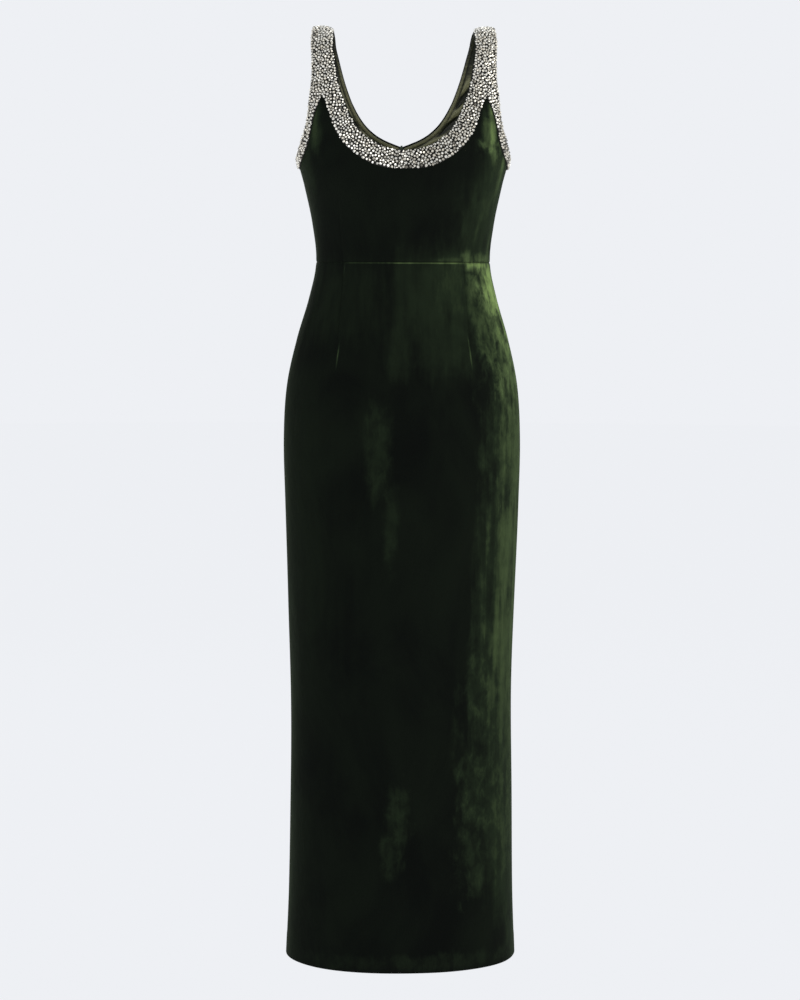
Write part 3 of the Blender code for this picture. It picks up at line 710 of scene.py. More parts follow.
class Nodes:
    """Adds nodes to a tree and links them, so that a material reads as a list of steps."""

    def __init__(self, tree):
        self.tree = tree

    def add(self, kind, settings=None, **inputs):
        """A node; an input is named with _ for a space, or by its number after a _."""
        node = self.tree.nodes.new(kind)
        for name, value in (settings or {}).items():
            setattr(node, name, value)
        for name, value in inputs.items():
            self.feed(node.inputs[int(name[1:]) if name[0] == "_" else name.replace("_", " ")], value)
        return node

    def feed(self, socket, value):
        if isinstance(value, bpy.types.NodeSocket):
            self.tree.links.new(value, socket)
        else:
            socket.default_value = value

    def math(self, operation, a, b, clamp=False):
        return self.add("ShaderNodeMath", {"operation": operation, "use_clamp": clamp}, _0=a, _1=b).outputs[0]

    def plus(self, a, b, clamp=False):
        return self.math("ADD", a, b, clamp)

    def minus(self, a, b):
        return self.math("SUBTRACT", a, b)

    def times(self, a, b):
        return self.math("MULTIPLY", a, b)

    def mix(self, share, a, b):
        a, b = ((*colour, 1.0) if isinstance(colour, tuple) else colour for colour in (a, b))
        return self.add("ShaderNodeMix", {"data_type": "RGBA"}, _0=share, _6=a, _7=b).outputs[2]

    def noise(self, place, scale, detail=3.0, roughness=0.55, distortion=0.0):
        return self.add(
            "ShaderNodeTexNoise", Vector=place, Scale=scale, Detail=detail, Roughness=roughness,
            Distortion=distortion,
        ).outputs[0]

    def stretched(self, place, scale, turn=0.0):
        return self.add("ShaderNodeMapping", Vector=place, Scale=scale, Rotation=(0.0, 0.0, turn)).outputs[0]

    def ramp(self, value, low, high, to_low=0.0, to_high=1.0):
        return self.add(
            "ShaderNodeMapRange", {"interpolation_type": "SMOOTHSTEP"}, Value=value,
            From_Min=low, From_Max=high, To_Min=to_low, To_Max=to_high,
        ).outputs[0]

    def shades(self, value, low, high, *between):
        """A colour for a value: one for 0, one for 1, and others by their positions between."""
        node = self.add("ShaderNodeValToRGB", Fac=value)
        stops = node.color_ramp.elements
        stops[0].color, stops[1].color = (*low, 1.0), (*high, 1.0)
        for position, colour in between:
            stops.new(position).color = (*colour, 1.0)
        return node.outputs[0]


def group(name, outputs, **floats):
    """A node group of a place and some numbers: its nodes, what it is given and where it ends."""
    tree = bpy.data.node_groups.new(name, "ShaderNodeTree")
    tree.interface.new_socket("Place", in_out="INPUT", socket_type="NodeSocketVector")
    for socket, value in floats.items():
        made = tree.interface.new_socket(socket, in_out="INPUT", socket_type="NodeSocketFloat")
        made.default_value = value
    for socket in outputs:
        tree.interface.new_socket(socket, in_out="OUTPUT", socket_type="NodeSocketFloat")
    nodes = Nodes(tree)
    return nodes, nodes.add("NodeGroupInput").outputs, nodes.add("NodeGroupOutput").inputs


def nap_and_sheen_group():
    """Pile that leans this way and that, with painted sheen in patches: how light it looks, and its pile's
    height.
    """
    nodes, given, out = group("nap_and_painted_light", ("Light", "Height"), Cover=0.0, Strength=0.0, Mottle=0.3)
    place, mottle = given["Place"], given["Mottle"]
    hanging = nodes.stretched(place, (1.0, 1.0, 0.6))
    broad = nodes.noise(hanging, 9.0, 4.0, 0.55, 0.6)
    blotch = nodes.noise(hanging, 60.0, 5.0, 0.60, 0.3)
    streak = nodes.noise(nodes.stretched(place, (1.0, 1.0, 0.07)), 80.0, 4.0, 0.55)
    fine = nodes.noise(nodes.stretched(place, (1.0, 1.0, 0.4)), 330.0, 3.0, 0.6)
    pile = nodes.noise(place, 1500.0, 2.0, 0.5)
    # a patch's border is soft, and torn where the nap is crushed
    torn = nodes.times(nodes.minus(blotch, 0.5), nodes.ramp(mottle, 0.0, 1.0, 0.5, 2.4))
    wispy = nodes.times(nodes.minus(streak, 0.5), 0.9)
    turned = nodes.ramp(nodes.plus(given["Cover"], nodes.plus(torn, wispy)), 0.05, 1.05)
    # inside it, smooth nap shows long streaks and crushed nap shows blotches
    smooth = nodes.ramp(streak, 0.30, 0.70, 0.78, 1.16)
    crushed = nodes.times(
        nodes.ramp(blotch, 0.34, 0.64, 0.25, 1.30), nodes.ramp(fine, 0.30, 0.70, 0.78, 1.22)
    )
    inside = nodes.plus(smooth, nodes.times(nodes.minus(crushed, smooth), mottle))
    patchy = nodes.times(given["Strength"], nodes.times(turned, inside))
    plain = nodes.times(nodes.ramp(broad, 0.34, 0.68), 0.035)
    nodes.feed(out["Light"], nodes.plus(patchy, plain, clamp=True))
    swell = nodes.plus(nodes.times(broad, 0.7), nodes.times(blotch, 0.16))
    deep = nodes.plus(swell, nodes.times(fine, 0.03))
    nodes.feed(out["Height"], nodes.plus(deep, nodes.times(pile, 0.012)))
    return nodes.tree


def weave_group():
    """A plain weave on a map in metres: threads across and along, with slack ones."""
    nodes, given, out = group("weave", ("Height", "Slub"), Threads=1200.0)
    across, along = (
        nodes.add(
            "ShaderNodeTexWave", {"bands_direction": direction, "wave_profile": "SIN"},
            Vector=given["Place"], Scale=given["Threads"], Distortion=0.4, Detail=1.0,
        ).outputs["Fac"]
        for direction in ("X", "Y")
    )
    nodes.feed(out["Height"], nodes.times(nodes.plus(across, along), 0.5))
    nodes.feed(out["Slub"], nodes.noise(nodes.stretched(given["Place"], (14.0, 260.0, 1.0)), 1.0, 3.0))
    return nodes.tree


NAP_AND_SHEEN = nap_and_sheen_group()
WEAVE = weave_group()


class Surface(Nodes):
    """A material in the making, with its constants set on the shader's own sockets."""

    def __init__(self, name, **constants):
        self.material = bpy.data.materials.new(name)
        self.material.use_nodes = True
        super().__init__(self.material.node_tree)
        self.shader = self.tree.nodes["Principled BSDF"]
        for socket, value in constants.items():
            self.feed(self.shader.inputs[socket.replace("_", " ")], value)

    def place(self, kind="Object"):
        return self.add("ShaderNodeTexCoord").outputs[kind]

    def painted(self, name):
        return self.add("ShaderNodeAttribute", {"attribute_name": name}).outputs["Fac"]

    def weave(self, threads, turn=0.0):
        """The height and the slack threads of a weave on the cloth's own map, in metres."""
        place = self.place("UV")
        if turn:
            place = self.stretched(place, (1.0, 1.0, 1.0), turn)
        made = self.add("ShaderNodeGroup", {"node_tree": WEAVE}, Place=place, Threads=threads)
        return made.outputs["Height"], made.outputs["Slub"]

    def finish(self, colour, roughness=None, height=None, depth=0.0, strength=1.0):
        """The material, with its colour, roughness and relief fed into the shader."""
        self.feed(self.shader.inputs["Base Color"], colour)
        if roughness is not None:
            self.feed(self.shader.inputs["Roughness"], roughness)
        if height is not None:
            raised = self.add("ShaderNodeBump", Height=height, Distance=depth, Strength=strength)
            self.feed(self.shader.inputs["Normal"], raised.outputs[0])
        return self.material


def velvet():
    """Deep bottle-green velvet: nearly black face on, light green in patches of painted sheen and highlight,
    with painted shade in its seams.
    """
    made = Surface(
        "velvet", Roughness=0.9, Specular_IOR_Level=0.05,
        Sheen_Weight=0.12, Sheen_Roughness=0.42, Sheen_Tint=(0.30, 0.42, 0.22, 1.0),
    )
    nap_and_painted_light = made.add(
        "ShaderNodeGroup", {"node_tree": NAP_AND_SHEEN}, Place=made.place(), Cover=made.painted("nap_and_painted_light"),
        Strength=made.painted("strength"), Mottle=made.painted("mottle"),
    ).outputs
    # the lighter greens are painted sheen and highlight, by how far each place is in a patch
    shade = made.shades(
        nap_and_painted_light["Light"], (0.0029, 0.0038, 0.0031), (0.2300, 0.3350, 0.1080),
        (0.15, (0.0125, 0.0200, 0.0100)), (0.45, (0.0660, 0.0980, 0.0390)),
    )
    # painted shade, nearly black, in the valleys of the seams and darts
    colour = made.mix(made.times(made.painted("sewn"), 0.45), shade, (0.0022, 0.0030, 0.0022))
    return made.finish(colour, None, nap_and_painted_light["Height"], 0.010, 0.5)


def lining():
    """Dark green satin lining, woven fine."""
    made = Surface(
        "lining", Specular_IOR_Level=0.4,
        Sheen_Weight=0.25, Sheen_Roughness=0.4, Sheen_Tint=(0.5, 0.6, 0.45, 1.0),
    )
    height, slub = made.weave(700.0)
    colour = made.mix(slub, (0.010, 0.020, 0.010), (0.022, 0.038, 0.020))
    return made.finish(colour, made.ramp(slub, 0.3, 0.7, 0.38, 0.55), height, 0.00012)


def satin():
    """Olive satin of the facing, with long floats and a soft uneven shine, and painted shade in its folds and
    high inside the strap.
    """
    made = Surface(
        "satin", Specular_IOR_Level=0.35,
        Sheen_Weight=0.14, Sheen_Roughness=0.35, Sheen_Tint=(0.75, 0.78, 0.4, 1.0),
    )
    height, slub = made.weave(600.0)
    broad = made.noise(made.stretched(made.place("UV"), (30.0, 18.0, 1.0)), 1.0, 3.0)
    uneven = made.plus(made.times(slub, 0.5), made.times(broad, 0.5))
    share = made.plus(made.painted("nap_and_painted_light"), made.minus(uneven, 0.5), clamp=True)
    # near-black is painted shade, in the folds and high inside the strap
    colour = made.mix(made.ramp(share, 0.2, 0.8), (0.215, 0.212, 0.110), (0.009, 0.011, 0.004))
    return made.finish(colour, made.ramp(uneven, 0.3, 0.7, 0.32, 0.46), height, 0.00010)


def crystal():
    """Foiled crystals: clear, champagne and smoky stones with bright facets."""
    made = Surface("crystal", Metallic=0.40, Specular_IOR_Level=0.9, Coat_Weight=0.8, Coat_Roughness=0.04)
    colour = made.shades(
        made.painted("tone"), (0.20, 0.185, 0.155), (1.0, 0.97, 0.885),
        (0.22, (0.57, 0.53, 0.45)), (0.5, (0.93, 0.87, 0.74)),
    )
    return made.finish(colour, made.ramp(made.noise(made.place(), 900.0, 2.0), 0.3, 0.7, 0.07, 0.17))


def backing():
    """Dark net under the crystals."""
    made = Surface("band_backing", Specular_IOR_Level=0.3)
    height, slub = made.weave(260.0)
    colour = made.mix(made.ramp(height, 0.3, 0.8), (0.002, 0.003, 0.002), (0.012, 0.012, 0.008))
    return made.finish(colour, made.ramp(slub, 0.3, 0.7, 0.6, 0.8), height, 0.0003)


def tape():
    """Woven nylon of the zip's tape and coil."""
    made = Surface("zip_tape", Specular_IOR_Level=0.35)
    height, slub = made.weave(330.0, 0.6)
    colour = made.mix(height, (0.008, 0.016, 0.008), (0.022, 0.040, 0.020))
    return made.finish(colour, made.ramp(slub, 0.3, 0.7, 0.6, 0.75), height, 0.0002)


def enamel():
    """Dark enamelled metal of the slider and its pull, rubbed brighter in places."""
    made = Surface("metal", Metallic=0.85)
    rubbed = made.ramp(made.noise(made.place(), 420.0, 4.0), 0.45, 0.8)
    colour = made.mix(rubbed, (0.040, 0.054, 0.038), (0.095, 0.110, 0.085))
    return made.finish(colour, made.minus(0.42, made.times(rubbed, 0.15)))


def thread():
    """Olive sewing thread."""
    made = Surface("thread", Specular_IOR_Level=0.3)
    twist = made.noise(made.place(), 2500.0, 1.0)
    colour = made.mix(twist, (0.075, 0.072, 0.036), (0.15, 0.145, 0.08))
    return made.finish(colour, made.ramp(twist, 0.3, 0.7, 0.5, 0.7))


VELVET, LINING, SATIN, CRYSTAL = velvet(), lining(), satin(), crystal()
BACKING, TAPE, METAL, THREAD = backing(), tape(), enamel(), thread()


# ---- Panels --------------------------------------------------------------------------------

BODICE_SIDE, ARM_CURVE, STRAP_LENGTH = 0.155, 0.10, 0.12     # how long a bodice is, section by section
BODICE_ROWS = (
    spread(BODICE_SIDE, CLOTH_STEP, start=True), spread(ARM_CURVE, STRAP_STEP),
    spread(STRAP_LENGTH, STRAP_STEP, end=True),
)
BODICE_MIDDLE, BODICE_OUTER = 0.085, 0.105     # centre line to dart, and dart to side seam
SKIRT_INNER, SKIRT_OUTER = 0.110, 0.120        # the cloth before and after a skirt's dart
HIP_LENGTH, HEM_LENGTH = 0.3525, 0.700
HEM_STEP = CLOTH_STEP * 1.15
BOTH_SIDES = (1.0, -1.0)
NAMED_SIDES = (("right", 1.0), ("left", -1.0))

Cut = namedtuple("Cut", "width length area", defaults=(None,))


def guides(*lines):
    """Guide lines up a panel: each is a list of edges, one for each section of its rows."""
    return [[edge(points) for points in line] for line in lines]


def with_dart(inner, dart_line, outer):
    """Guides for a panel with a dart between its inner and outer edges."""
    one_side = [beside(points, -DART_HALF_WIDTH) for points in dart_line]
    other_side = [beside(points, DART_HALF_WIDTH) for points in dart_line]
    return guides(inner, one_side, dart_line, other_side, outer)


def dart_columns(first_width, last_width, start, end):
    """Columns of a panel with a dart: the cloth each side of it, and its own close lines."""
    return (
        spread(first_width, CLOTH_STEP, start=start), DART_LINES,
        DART_LINES, spread(last_width, CLOTH_STEP, end=end),
    )


def front_bodice_half(side):
    """One half of the front bodice, centre front to side seam and up to the shoulder."""
    lines = with_dart(
        [centre_line(0.0, WAIST_DROP, FRONT_NECK_LOW.drop), FRONT_NECK_CURVE, FRONT_NECK_STRAP],
        [FRONT_BODICE_DART, FRONT_DART_GUIDE, STRAP_MIDDLE],
        [centre_line(90.0, WAIST_DROP, UNDERARM.drop), FRONT_ARM_CURVE, FRONT_ARM_STRAP],
    )
    open_sides = {**ALL_ROUND, "start": len(BODICE_ROWS[0]) - 1}
    columns = dart_columns(BODICE_MIDDLE, BODICE_OUTER, True, True)
    return Half(lines, columns, BODICE_ROWS, side, open_sides, FRONT_NECK_LOW)


def back_bodice(side):
    """One back bodice, side seam to the zip and up to the shoulder."""
    lines = with_dart(
        [centre_line(90.0, WAIST_DROP, UNDERARM.drop), BACK_ARM_CURVE, BACK_ARM_STRAP],
        [BACK_BODICE_DART, BACK_DART_GUIDE, BACK_STRAP_MIDDLE],
        [centre_line(180.0, WAIST_DROP, BACK_NECK_CURVE[0].drop), BACK_NECK_CURVE, BACK_NECK_STRAP],
    )
    return Half(lines, dart_columns(BODICE_OUTER, BODICE_MIDDLE, True, True), BODICE_ROWS, side, ALL_ROUND)


def skirt_lines(angle, dart=None):
    """A guide in two sections, from the waist past the hip and on to the hem."""
    upper = (*dart, Point(angle, HIP_END_DROP)) if dart else centre_line(angle, WAIST_DROP, HIP_END_DROP)
    return [upper, centre_line(angle, HIP_END_DROP, HEM_DROP)]


def skirt_half(side, inner_angle, dart, outer_angle, open_sides):
    """One half of the front skirt, or one back skirt, waist to hem."""
    lines = with_dart(skirt_lines(inner_angle), skirt_lines(dart[-1].angle, dart), skirt_lines(outer_angle))
    rows = (spread(HIP_LENGTH, CLOTH_STEP, start=True), spread(HEM_LENGTH, HEM_STEP, end=True))
    columns = dart_columns(SKIRT_INNER, SKIRT_OUTER, "start" in open_sides, "end" in open_sides)
    return Half(lines, columns, rows, side, open_sides, None, True)


def add_cloth(name, halves):
    """A velvet panel with its lining."""
    made = piece(f"{name}_velvet", walled(halves, -VELVET_THICK, 0.0), (VELVET, LINING), name)


def add_panels():
    """The bodice and the skirt, panel by panel."""
    front_halves = [front_bodice_half(side) for side in BOTH_SIDES]
    add_cloth("front_bodice", front_halves)
    seamless = {"end": 0, "low": 0, "high": 0}
    front_halves = [skirt_half(side, 0.0, FRONT_SKIRT_DART, 90.0, seamless) for side in BOTH_SIDES]
    add_cloth("front_skirt", front_halves)
    for name, side in NAMED_SIDES:
        add_cloth(f"back_bodice_{name}", [back_bodice(side)])
        skirt = skirt_half(side, 90.0, BACK_SKIRT_DART, 180.0, ALL_ROUND)
        add_cloth(f"back_skirt_{name}", [skirt])


# ---- Crystal bands -------------------------------------------------------------------------

BACKING_THICK = 0.0006
BAND_STEP = 0.0030
BAND_WIDTH, BAND_LENGTH = 0.028, 0.16    # a band's own, below its strap
STONE_FOOT = LAY_GAP + BACKING_THICK * 0.7
STONE_TOP = LAY_GAP + CRYSTAL_THICK
EDGE_STONE = 0.0024          # radius of the larger stones sewn along an outer edge
NECK_STONE = 0.0019          # radius of those along the neckline and armhole
SMALL_STONE = 0.0016         # stones below this radius have fewer facets
LARGE_FACETS, SMALL_FACETS = 8, 6
STONE_TABLE, STONE_SEAT, GIRDLE_HEIGHT = 0.60, 0.78, 0.46    # as shares of a stone's radius and height
EDGE_GAP = 0.0006            # between stones in an edge row
EDGE_SHIFT = 0.12            # how far one is shifted along its row, as a share of its place
EDGE_SIZES = (0.80, 1.12)
EDGE_WANDER = 0.0022         # how far one may stand in from the edge
FILL_STONES = (0.0022, 0.0020, 0.0018, 0.0016, 0.0014, 0.0012, 0.0009)
FILL_TRIES = (500, 1800, 4500, 6500, 7500, 4500, 1500)
FILL_SIZES = (0.93, 1.05)
EDGE_ROOM = 0.82             # how near a stone may come to the band's edge, as a share of its radius
STONE_SPACING = 1.01         # how near two stones may come, as a share of their radii
STRAP_REACH = 0.35           # how far stones reach past the line where two bands join
STONE_HEIGHTS = (1.05, 1.35)    # as a share of its radius
STONE_LIFTS = (0.2, 0.95)    # how high it stands in the room that it leaves
STONE_TILT = 0.20
STONE_NARROW = 0.84          # the narrowest stone's width, as a share of its length
CELL = 0.0065                # size of the cells that stones are looked up in
BAND_SEED = 11
TONES = (0.05, 0.25, 0.5, 0.75, 1.0)
TONE_SHARES = (0.04, 0.07, 0.17, 0.30, 0.42)
TONE_WANDER = 0.08
# painted shade: the stones toward each side seam are darker, as they turn from the light, more so on the
# right
SIDE_PAINTED_SHADE = {1.0: 0.62, -1.0: 0.40}   # how much tone the stones by each side seam lose on average
SIDE_SHADE_ANGLE, SIDE_SHADE_SPAN = 50, 20           # where that begins, and how many degrees it takes to grow
SIDE_SHADE_SPREAD = (0.1, 1.9)


def stone_template(sides, name):
    """A cut stone of radius and height one: a tapered seat, a girdle, a turned crown and a table."""
    stone = bmesh.new()
    bmesh.ops.create_cone(
        stone, cap_ends=True, segments=sides, radius1=1.0, radius2=STONE_TABLE, depth=1.0 - GIRDLE_HEIGHT
    )
    bmesh.ops.translate(stone, vec=(0, 0, (1.0 + GIRDLE_HEIGHT) / 2), verts=stone.verts)
    top = [vertex for vertex in stone.verts if vertex.co.z > 0.9]
    bmesh.ops.rotate(stone, cent=(0, 0, 0), matrix=Matrix.Rotation(math.pi / sides, 3, "Z"), verts=top)
    base = [face for face in stone.faces if face.normal.z < -0.9]
    grown = bmesh.ops.extrude_face_region(stone, geom=base)
    foot = [item for item in grown["geom"] if isinstance(item, bmesh.types.BMVert)]
    bmesh.ops.delete(stone, geom=base, context="FACES_ONLY")
    bmesh.ops.translate(stone, vec=(0, 0, -GIRDLE_HEIGHT), verts=foot)
    bmesh.ops.scale(stone, vec=(STONE_SEAT, STONE_SEAT, 1.0), verts=foot)
    bmesh.ops.triangulate(stone, faces=[face for face in stone.faces if abs(face.normal.z) < 0.95])
    bmesh.ops.recalc_face_normals(stone, faces=stone.faces)
    return as_mesh(stone, name)


class Stones:
    """Stones packed over one side of a band, the larger ones first."""

    def __init__(self, lines, side, seed, joined, cells):
        self.lines, self.side, self.draw = lines, side, np.random.default_rng(seed)
        self.joined, self.cells, self.found = joined, cells, []
        self.lengths = [max(line[section].length for line in lines) for section in (0, 1)]

    def fits(self, place, radius):
        """Whether a stone is clear of those already there."""
        x, y, z = (int(c // CELL) for c in place)
        for key in ((x + i, y + j, z + k) for i in (-1, 0, 1) for j in (-1, 0, 1) for k in (-1, 0, 1)):
            for other, other_radius in self.cells.get(key, ()):
                if math.dist(other, place) < (radius + other_radius) * STONE_SPACING:
                    return False
        return True

    def offer(self, section, along, across, radii, inset=None):
        """Adds, in turn, each stone that is inside the band and clear of the others."""
        low, high = (line[section](along) for line in self.lines)
        ends = body_points(*low), body_points(*high)
        if inset is not None:
            across = np.abs(across - inset / np.linalg.norm(ends[1] - ends[0], axis=-1))
        runs, angles = low + (high - low) * across
        places = body_points(runs, angles)
        gaps = [np.linalg.norm(places - end, axis=-1) for end in ends]
        if section == 1:
            gaps[self.joined] = gaps[self.joined] + radii * (1 - STRAP_REACH)
        room = np.minimum(*gaps)
        for place, run, angle, radius, space in zip(places.tolist(), runs, angles, radii, room):
            if space >= radius * EDGE_ROOM and self.fits(place, radius):
                self.cells.setdefault(tuple(int(c // CELL) for c in place), []).append((place, radius))
                self.found.append((run, angle * self.side, radius))

    def edge_row(self, which, radius):
        """A row of like stones along one edge of the band: 0 its first guide, 1 its last."""
        for section in (0,) if which == self.joined else (0, 1):
            count = int(self.lengths[section] / (2 * radius + EDGE_GAP))
            along = (np.arange(count) + 0.5 + self.draw.uniform(-EDGE_SHIFT, EDGE_SHIFT, count)) / count
            radii = radius * self.draw.uniform(*EDGE_SIZES, count)
            inset = radii * EDGE_ROOM + self.draw.uniform(0.0, EDGE_WANDER, count)
            self.offer(section, along, np.full(count, float(which)), radii, inset)

    def fill(self):
        """Fills the rest of the band with ever smaller stones."""
        total = sum(self.lengths)
        for radius, tries in zip(FILL_STONES, FILL_TRIES):
            for section in (0, 1):
                count = int(tries * self.lengths[section] / total)
                radii = radius * self.draw.uniform(*FILL_SIZES, count)
                self.offer(section, self.draw.random(count), self.draw.random(count), radii)


def stones_solid(sets, templates):
    """One bmesh of all the stones, each turned, tilted a little and given its tone, with painted shade toward
    the side seams.
    """
    solid = bmesh.new()
    tone_layer = solid.verts.layers.float.new("tone")
    for stones in sets:
        draw = stones.draw
        runs, angles, radii = np.array(stones.found).T
        count = len(radii)
        normals = outward(runs, angles)
        deep = STONE_TOP - STONE_FOOT
        heights = np.minimum(deep, radii * draw.uniform(*STONE_HEIGHTS, count))
        lifts = relief(runs, angles) + STONE_FOOT + (deep - heights) * draw.uniform(*STONE_LIFTS, count)
        places = body_points(runs, angles) + normals * lifts[:, None]
        tilts = normals + draw.uniform(-STONE_TILT, STONE_TILT, (count, 3))
        # painted shade on the stones toward the side seams, where they turn from the light
        painted_shade = SIDE_PAINTED_SHADE[stones.side] * ramp((np.abs(angles) - SIDE_SHADE_ANGLE) / SIDE_SHADE_SPAN)
        painted_shade = painted_shade * draw.uniform(*SIDE_SHADE_SPREAD, count)
        for place, tilt, radius, height, shaded in zip(places, tilts, radii, heights, painted_shade):
            turned = Vector(tilt).to_track_quat("Z", "Y").to_matrix().to_4x4()
            spun = Matrix.Rotation(draw.uniform(0, math.tau), 4, "Z")
            size = Matrix.Diagonal((radius, radius * draw.uniform(STONE_NARROW, 1.0), height, 1.0))
            move = Matrix.Translation(place) @ turned @ spun @ size
            tone = draw.choice(TONES, p=TONE_SHARES) + draw.uniform(-TONE_WANDER, TONE_WANDER) - shaded
            for vertex in stamp(solid, templates[int(radius < SMALL_STONE)], move):
                vertex[tone_layer] = min(max(tone, 0.0), 1.0)
    return solid


def band_half(lines, side, open_sides):
    """The net backing under one side of a band."""
    columns = (spread(BAND_WIDTH, BAND_STEP, start=True, end=True),)
    own = spread(BAND_LENGTH, BAND_STEP, start="low" in open_sides)
    return Half(lines, columns, (own, spread(STRAP_LENGTH, BAND_STEP, end=True)), side, open_sides)


def add_bands():
    """The three crystal bands: their backing nets and their stones."""
    templates = (stone_template(LARGE_FACETS, "large_stone"), stone_template(SMALL_FACETS, "small_stone"))
    made = []
    neck = guides([FRONT_NECK_CURVE, FRONT_NECK_STRAP], [BAND_LOWER_CURVE, STRAP_MIDDLE])
    arm = guides([ARM_BAND_CURVE, STRAP_MIDDLE], [FRONT_ARM_CURVE, FRONT_ARM_STRAP])
    no_low = {"start": 0, "end": 0, "high": 0}
    packed = {side: {} for side in BOTH_SIDES}
    bands = (
        ("neckline", neck, BOTH_SIDES, no_low, 1, "neckline_crystal_band", Cut(0.030, 0.66)),
        ("armhole_right", arm, (1.0,), ALL_ROUND, 0, "armhole_crystal_band_right", Cut(0.018, 0.28)),
        ("armhole_left", arm, (-1.0,), ALL_ROUND, 0, "armhole_crystal_band_left", Cut(0.018, 0.28)),
    )
    for number, (name, lines, sides, open_sides, outer, node, cut) in enumerate(bands):
        backing_solid = walled(
            [band_half(lines, side, open_sides) for side in sides], LAY_GAP, LAY_GAP + BACKING_THICK
        )
        net_piece = piece(f"{name}_band_backing", backing_solid, (BACKING, BACKING), node)
        sets = []
        for turn, side in enumerate(sides):
            stones = Stones(lines, side, BAND_SEED + 7 * number + turn, outer, packed[side])
            stones.edge_row(outer, EDGE_STONE)
            stones.edge_row(1 - outer, NECK_STONE)
            stones.fill()
            sets.append(stones)
        solid = stones_solid(sets, templates)
        crystals = piece(f"{name}_band_crystals", solid, (CRYSTAL,), node, smooth=False)
        made += [net_piece, crystals]
    for template in templates:
        bpy.data.meshes.remove(template)
    return made


# ---- Facing and zip ------------------------------------------------------------------------

FACING_STEP = 0.0024
FACING_WIDTH = 0.036
FACING_LENGTH = 0.12         # of its curve and of its strap alike
FACING_TOP_LIFT = -(VELVET_THICK + INNER_GAP + ZIP_TAPE_THICK + LAY_GAP)
# also the depth of fold over which the painted shade goes from none to full
FACING_SWING = 0.0030        # from the facing's deepest fold to its highest
FACING_SHADE_END = 0.085     # the drop down to which the strap's inside is in shade
FACING_INSET = 0.0022        # how far the velvet shows above it
UNDERSTITCH_IN = 0.0056      # understitching to the facing's upper edge
UNDERSTITCH_DEPTH = 0.0009
UNDERSTITCH_WIDTH = 0.0009
SLACK_BELOW = 0.004          # how far below the stitching the folds take to rise
ROLL_HEIGHT = 0.0006         # how far the strip above the stitching rolls forward
ROLL_WIDTH = 0.0022
STITCH_LENGTH = 0.0023
STITCH_GAP = 0.0009
STITCH_THICK = 0.00042
FACING_CREASES = [Crease(*row) for row in (
    # the slack side, as it shows on the right
    (163, 0.164, 0.05, 0.003, -0.0018, -56),
    (158.5, 0.154, 0.046, 0.0018, 0.0012, -52),
    (154.5, 0.14, 0.06, 0.0042, 0.0027, -48),
    (150.5, 0.123, 0.054, 0.0032, -0.0024, -43),
    (148.3, 0.112, 0.036, 0.0016, 0.001, -40),
    (146, 0.1, 0.052, 0.0038, 0.0026, -36),
    (143.5, 0.084, 0.044, 0.0032, -0.0018, -30),
    (166, 0.176, 0.04, 0.0028, 0.0016, -62),
    (171, 0.186, 0.036, 0.0032, -0.0014, -66),
    # the left side, which lies smoother
    (-154, 0.136, 0.06, 0.0036, 0.0018, 40),
    (-150, 0.118, 0.05, 0.0032, -0.0013, 34),
    (-166, 0.176, 0.044, 0.0032, 0.0016, 62),
    (-145, 0.09, 0.04, 0.003, -0.0012, 24),
    (-160, 0.155, 0.04, 0.0028, -0.0012, 50),
)]


def facing_relief(drop, angle, away):
    """The facing's slack creases, and its understitching pulled down against the velvet."""
    below = ramp((away - UNDERSTITCH_IN) / SLACK_BELOW)
    stitched_in = UNDERSTITCH_DEPTH * bump((away - UNDERSTITCH_IN) / UNDERSTITCH_WIDTH)
    rolled = ROLL_HEIGHT * bump((away - UNDERSTITCH_IN / 2) / ROLL_WIDTH)
    return creased(drop, angle, FACING_CREASES) * below + stitched_in - rolled


def held_from_zip(lines, end_angle):
    """The facing's guides, held back from the zip by its folded end."""
    def held(part):
        def at(share):
            run, angle = part(share)
            return np.stack([run, np.minimum(angle, end_angle)])
        at.length = part.length
        return at
    return [[held(part) for part in line] for line in lines]


def add_facings():
    """The olive satin facing inside the back neckline, with its row of understitching."""
    half_width = measures_at(UNDERARM.drop)[0]
    end_angle = 180 - math.degrees(FACING_TO_ZIP / half_width)
    lines = held_from_zip(guides([FACING_CURVE, FACING_STRAP], [BACK_NECK_CURVE, BACK_NECK_STRAP]), end_angle)
    rows = (spread(FACING_LENGTH, FACING_STEP, start=True), spread(FACING_LENGTH, FACING_STEP, end=True))
    shares = spread(FACING_WIDTH, FACING_STEP * 0.5, start=True, end=True)
    columns = (shares * (1 - FACING_INSET / FACING_WIDTH),)
    for name, side in NAMED_SIDES:
        half = Half(lines, columns, rows, side, ALL_ROUND)
        solid = walled([half], FACING_TOP_LIFT - FACING_THICK, FACING_TOP_LIFT, facing_relief)
        satin_piece = piece(
            f"back_neck_facing_{name}_satin", solid, (SATIN, SATIN), f"back_neck_facing_{name}"
        )
        stitches = piece(f"understitching_{name}", stitched(lines, side), (THREAD,))


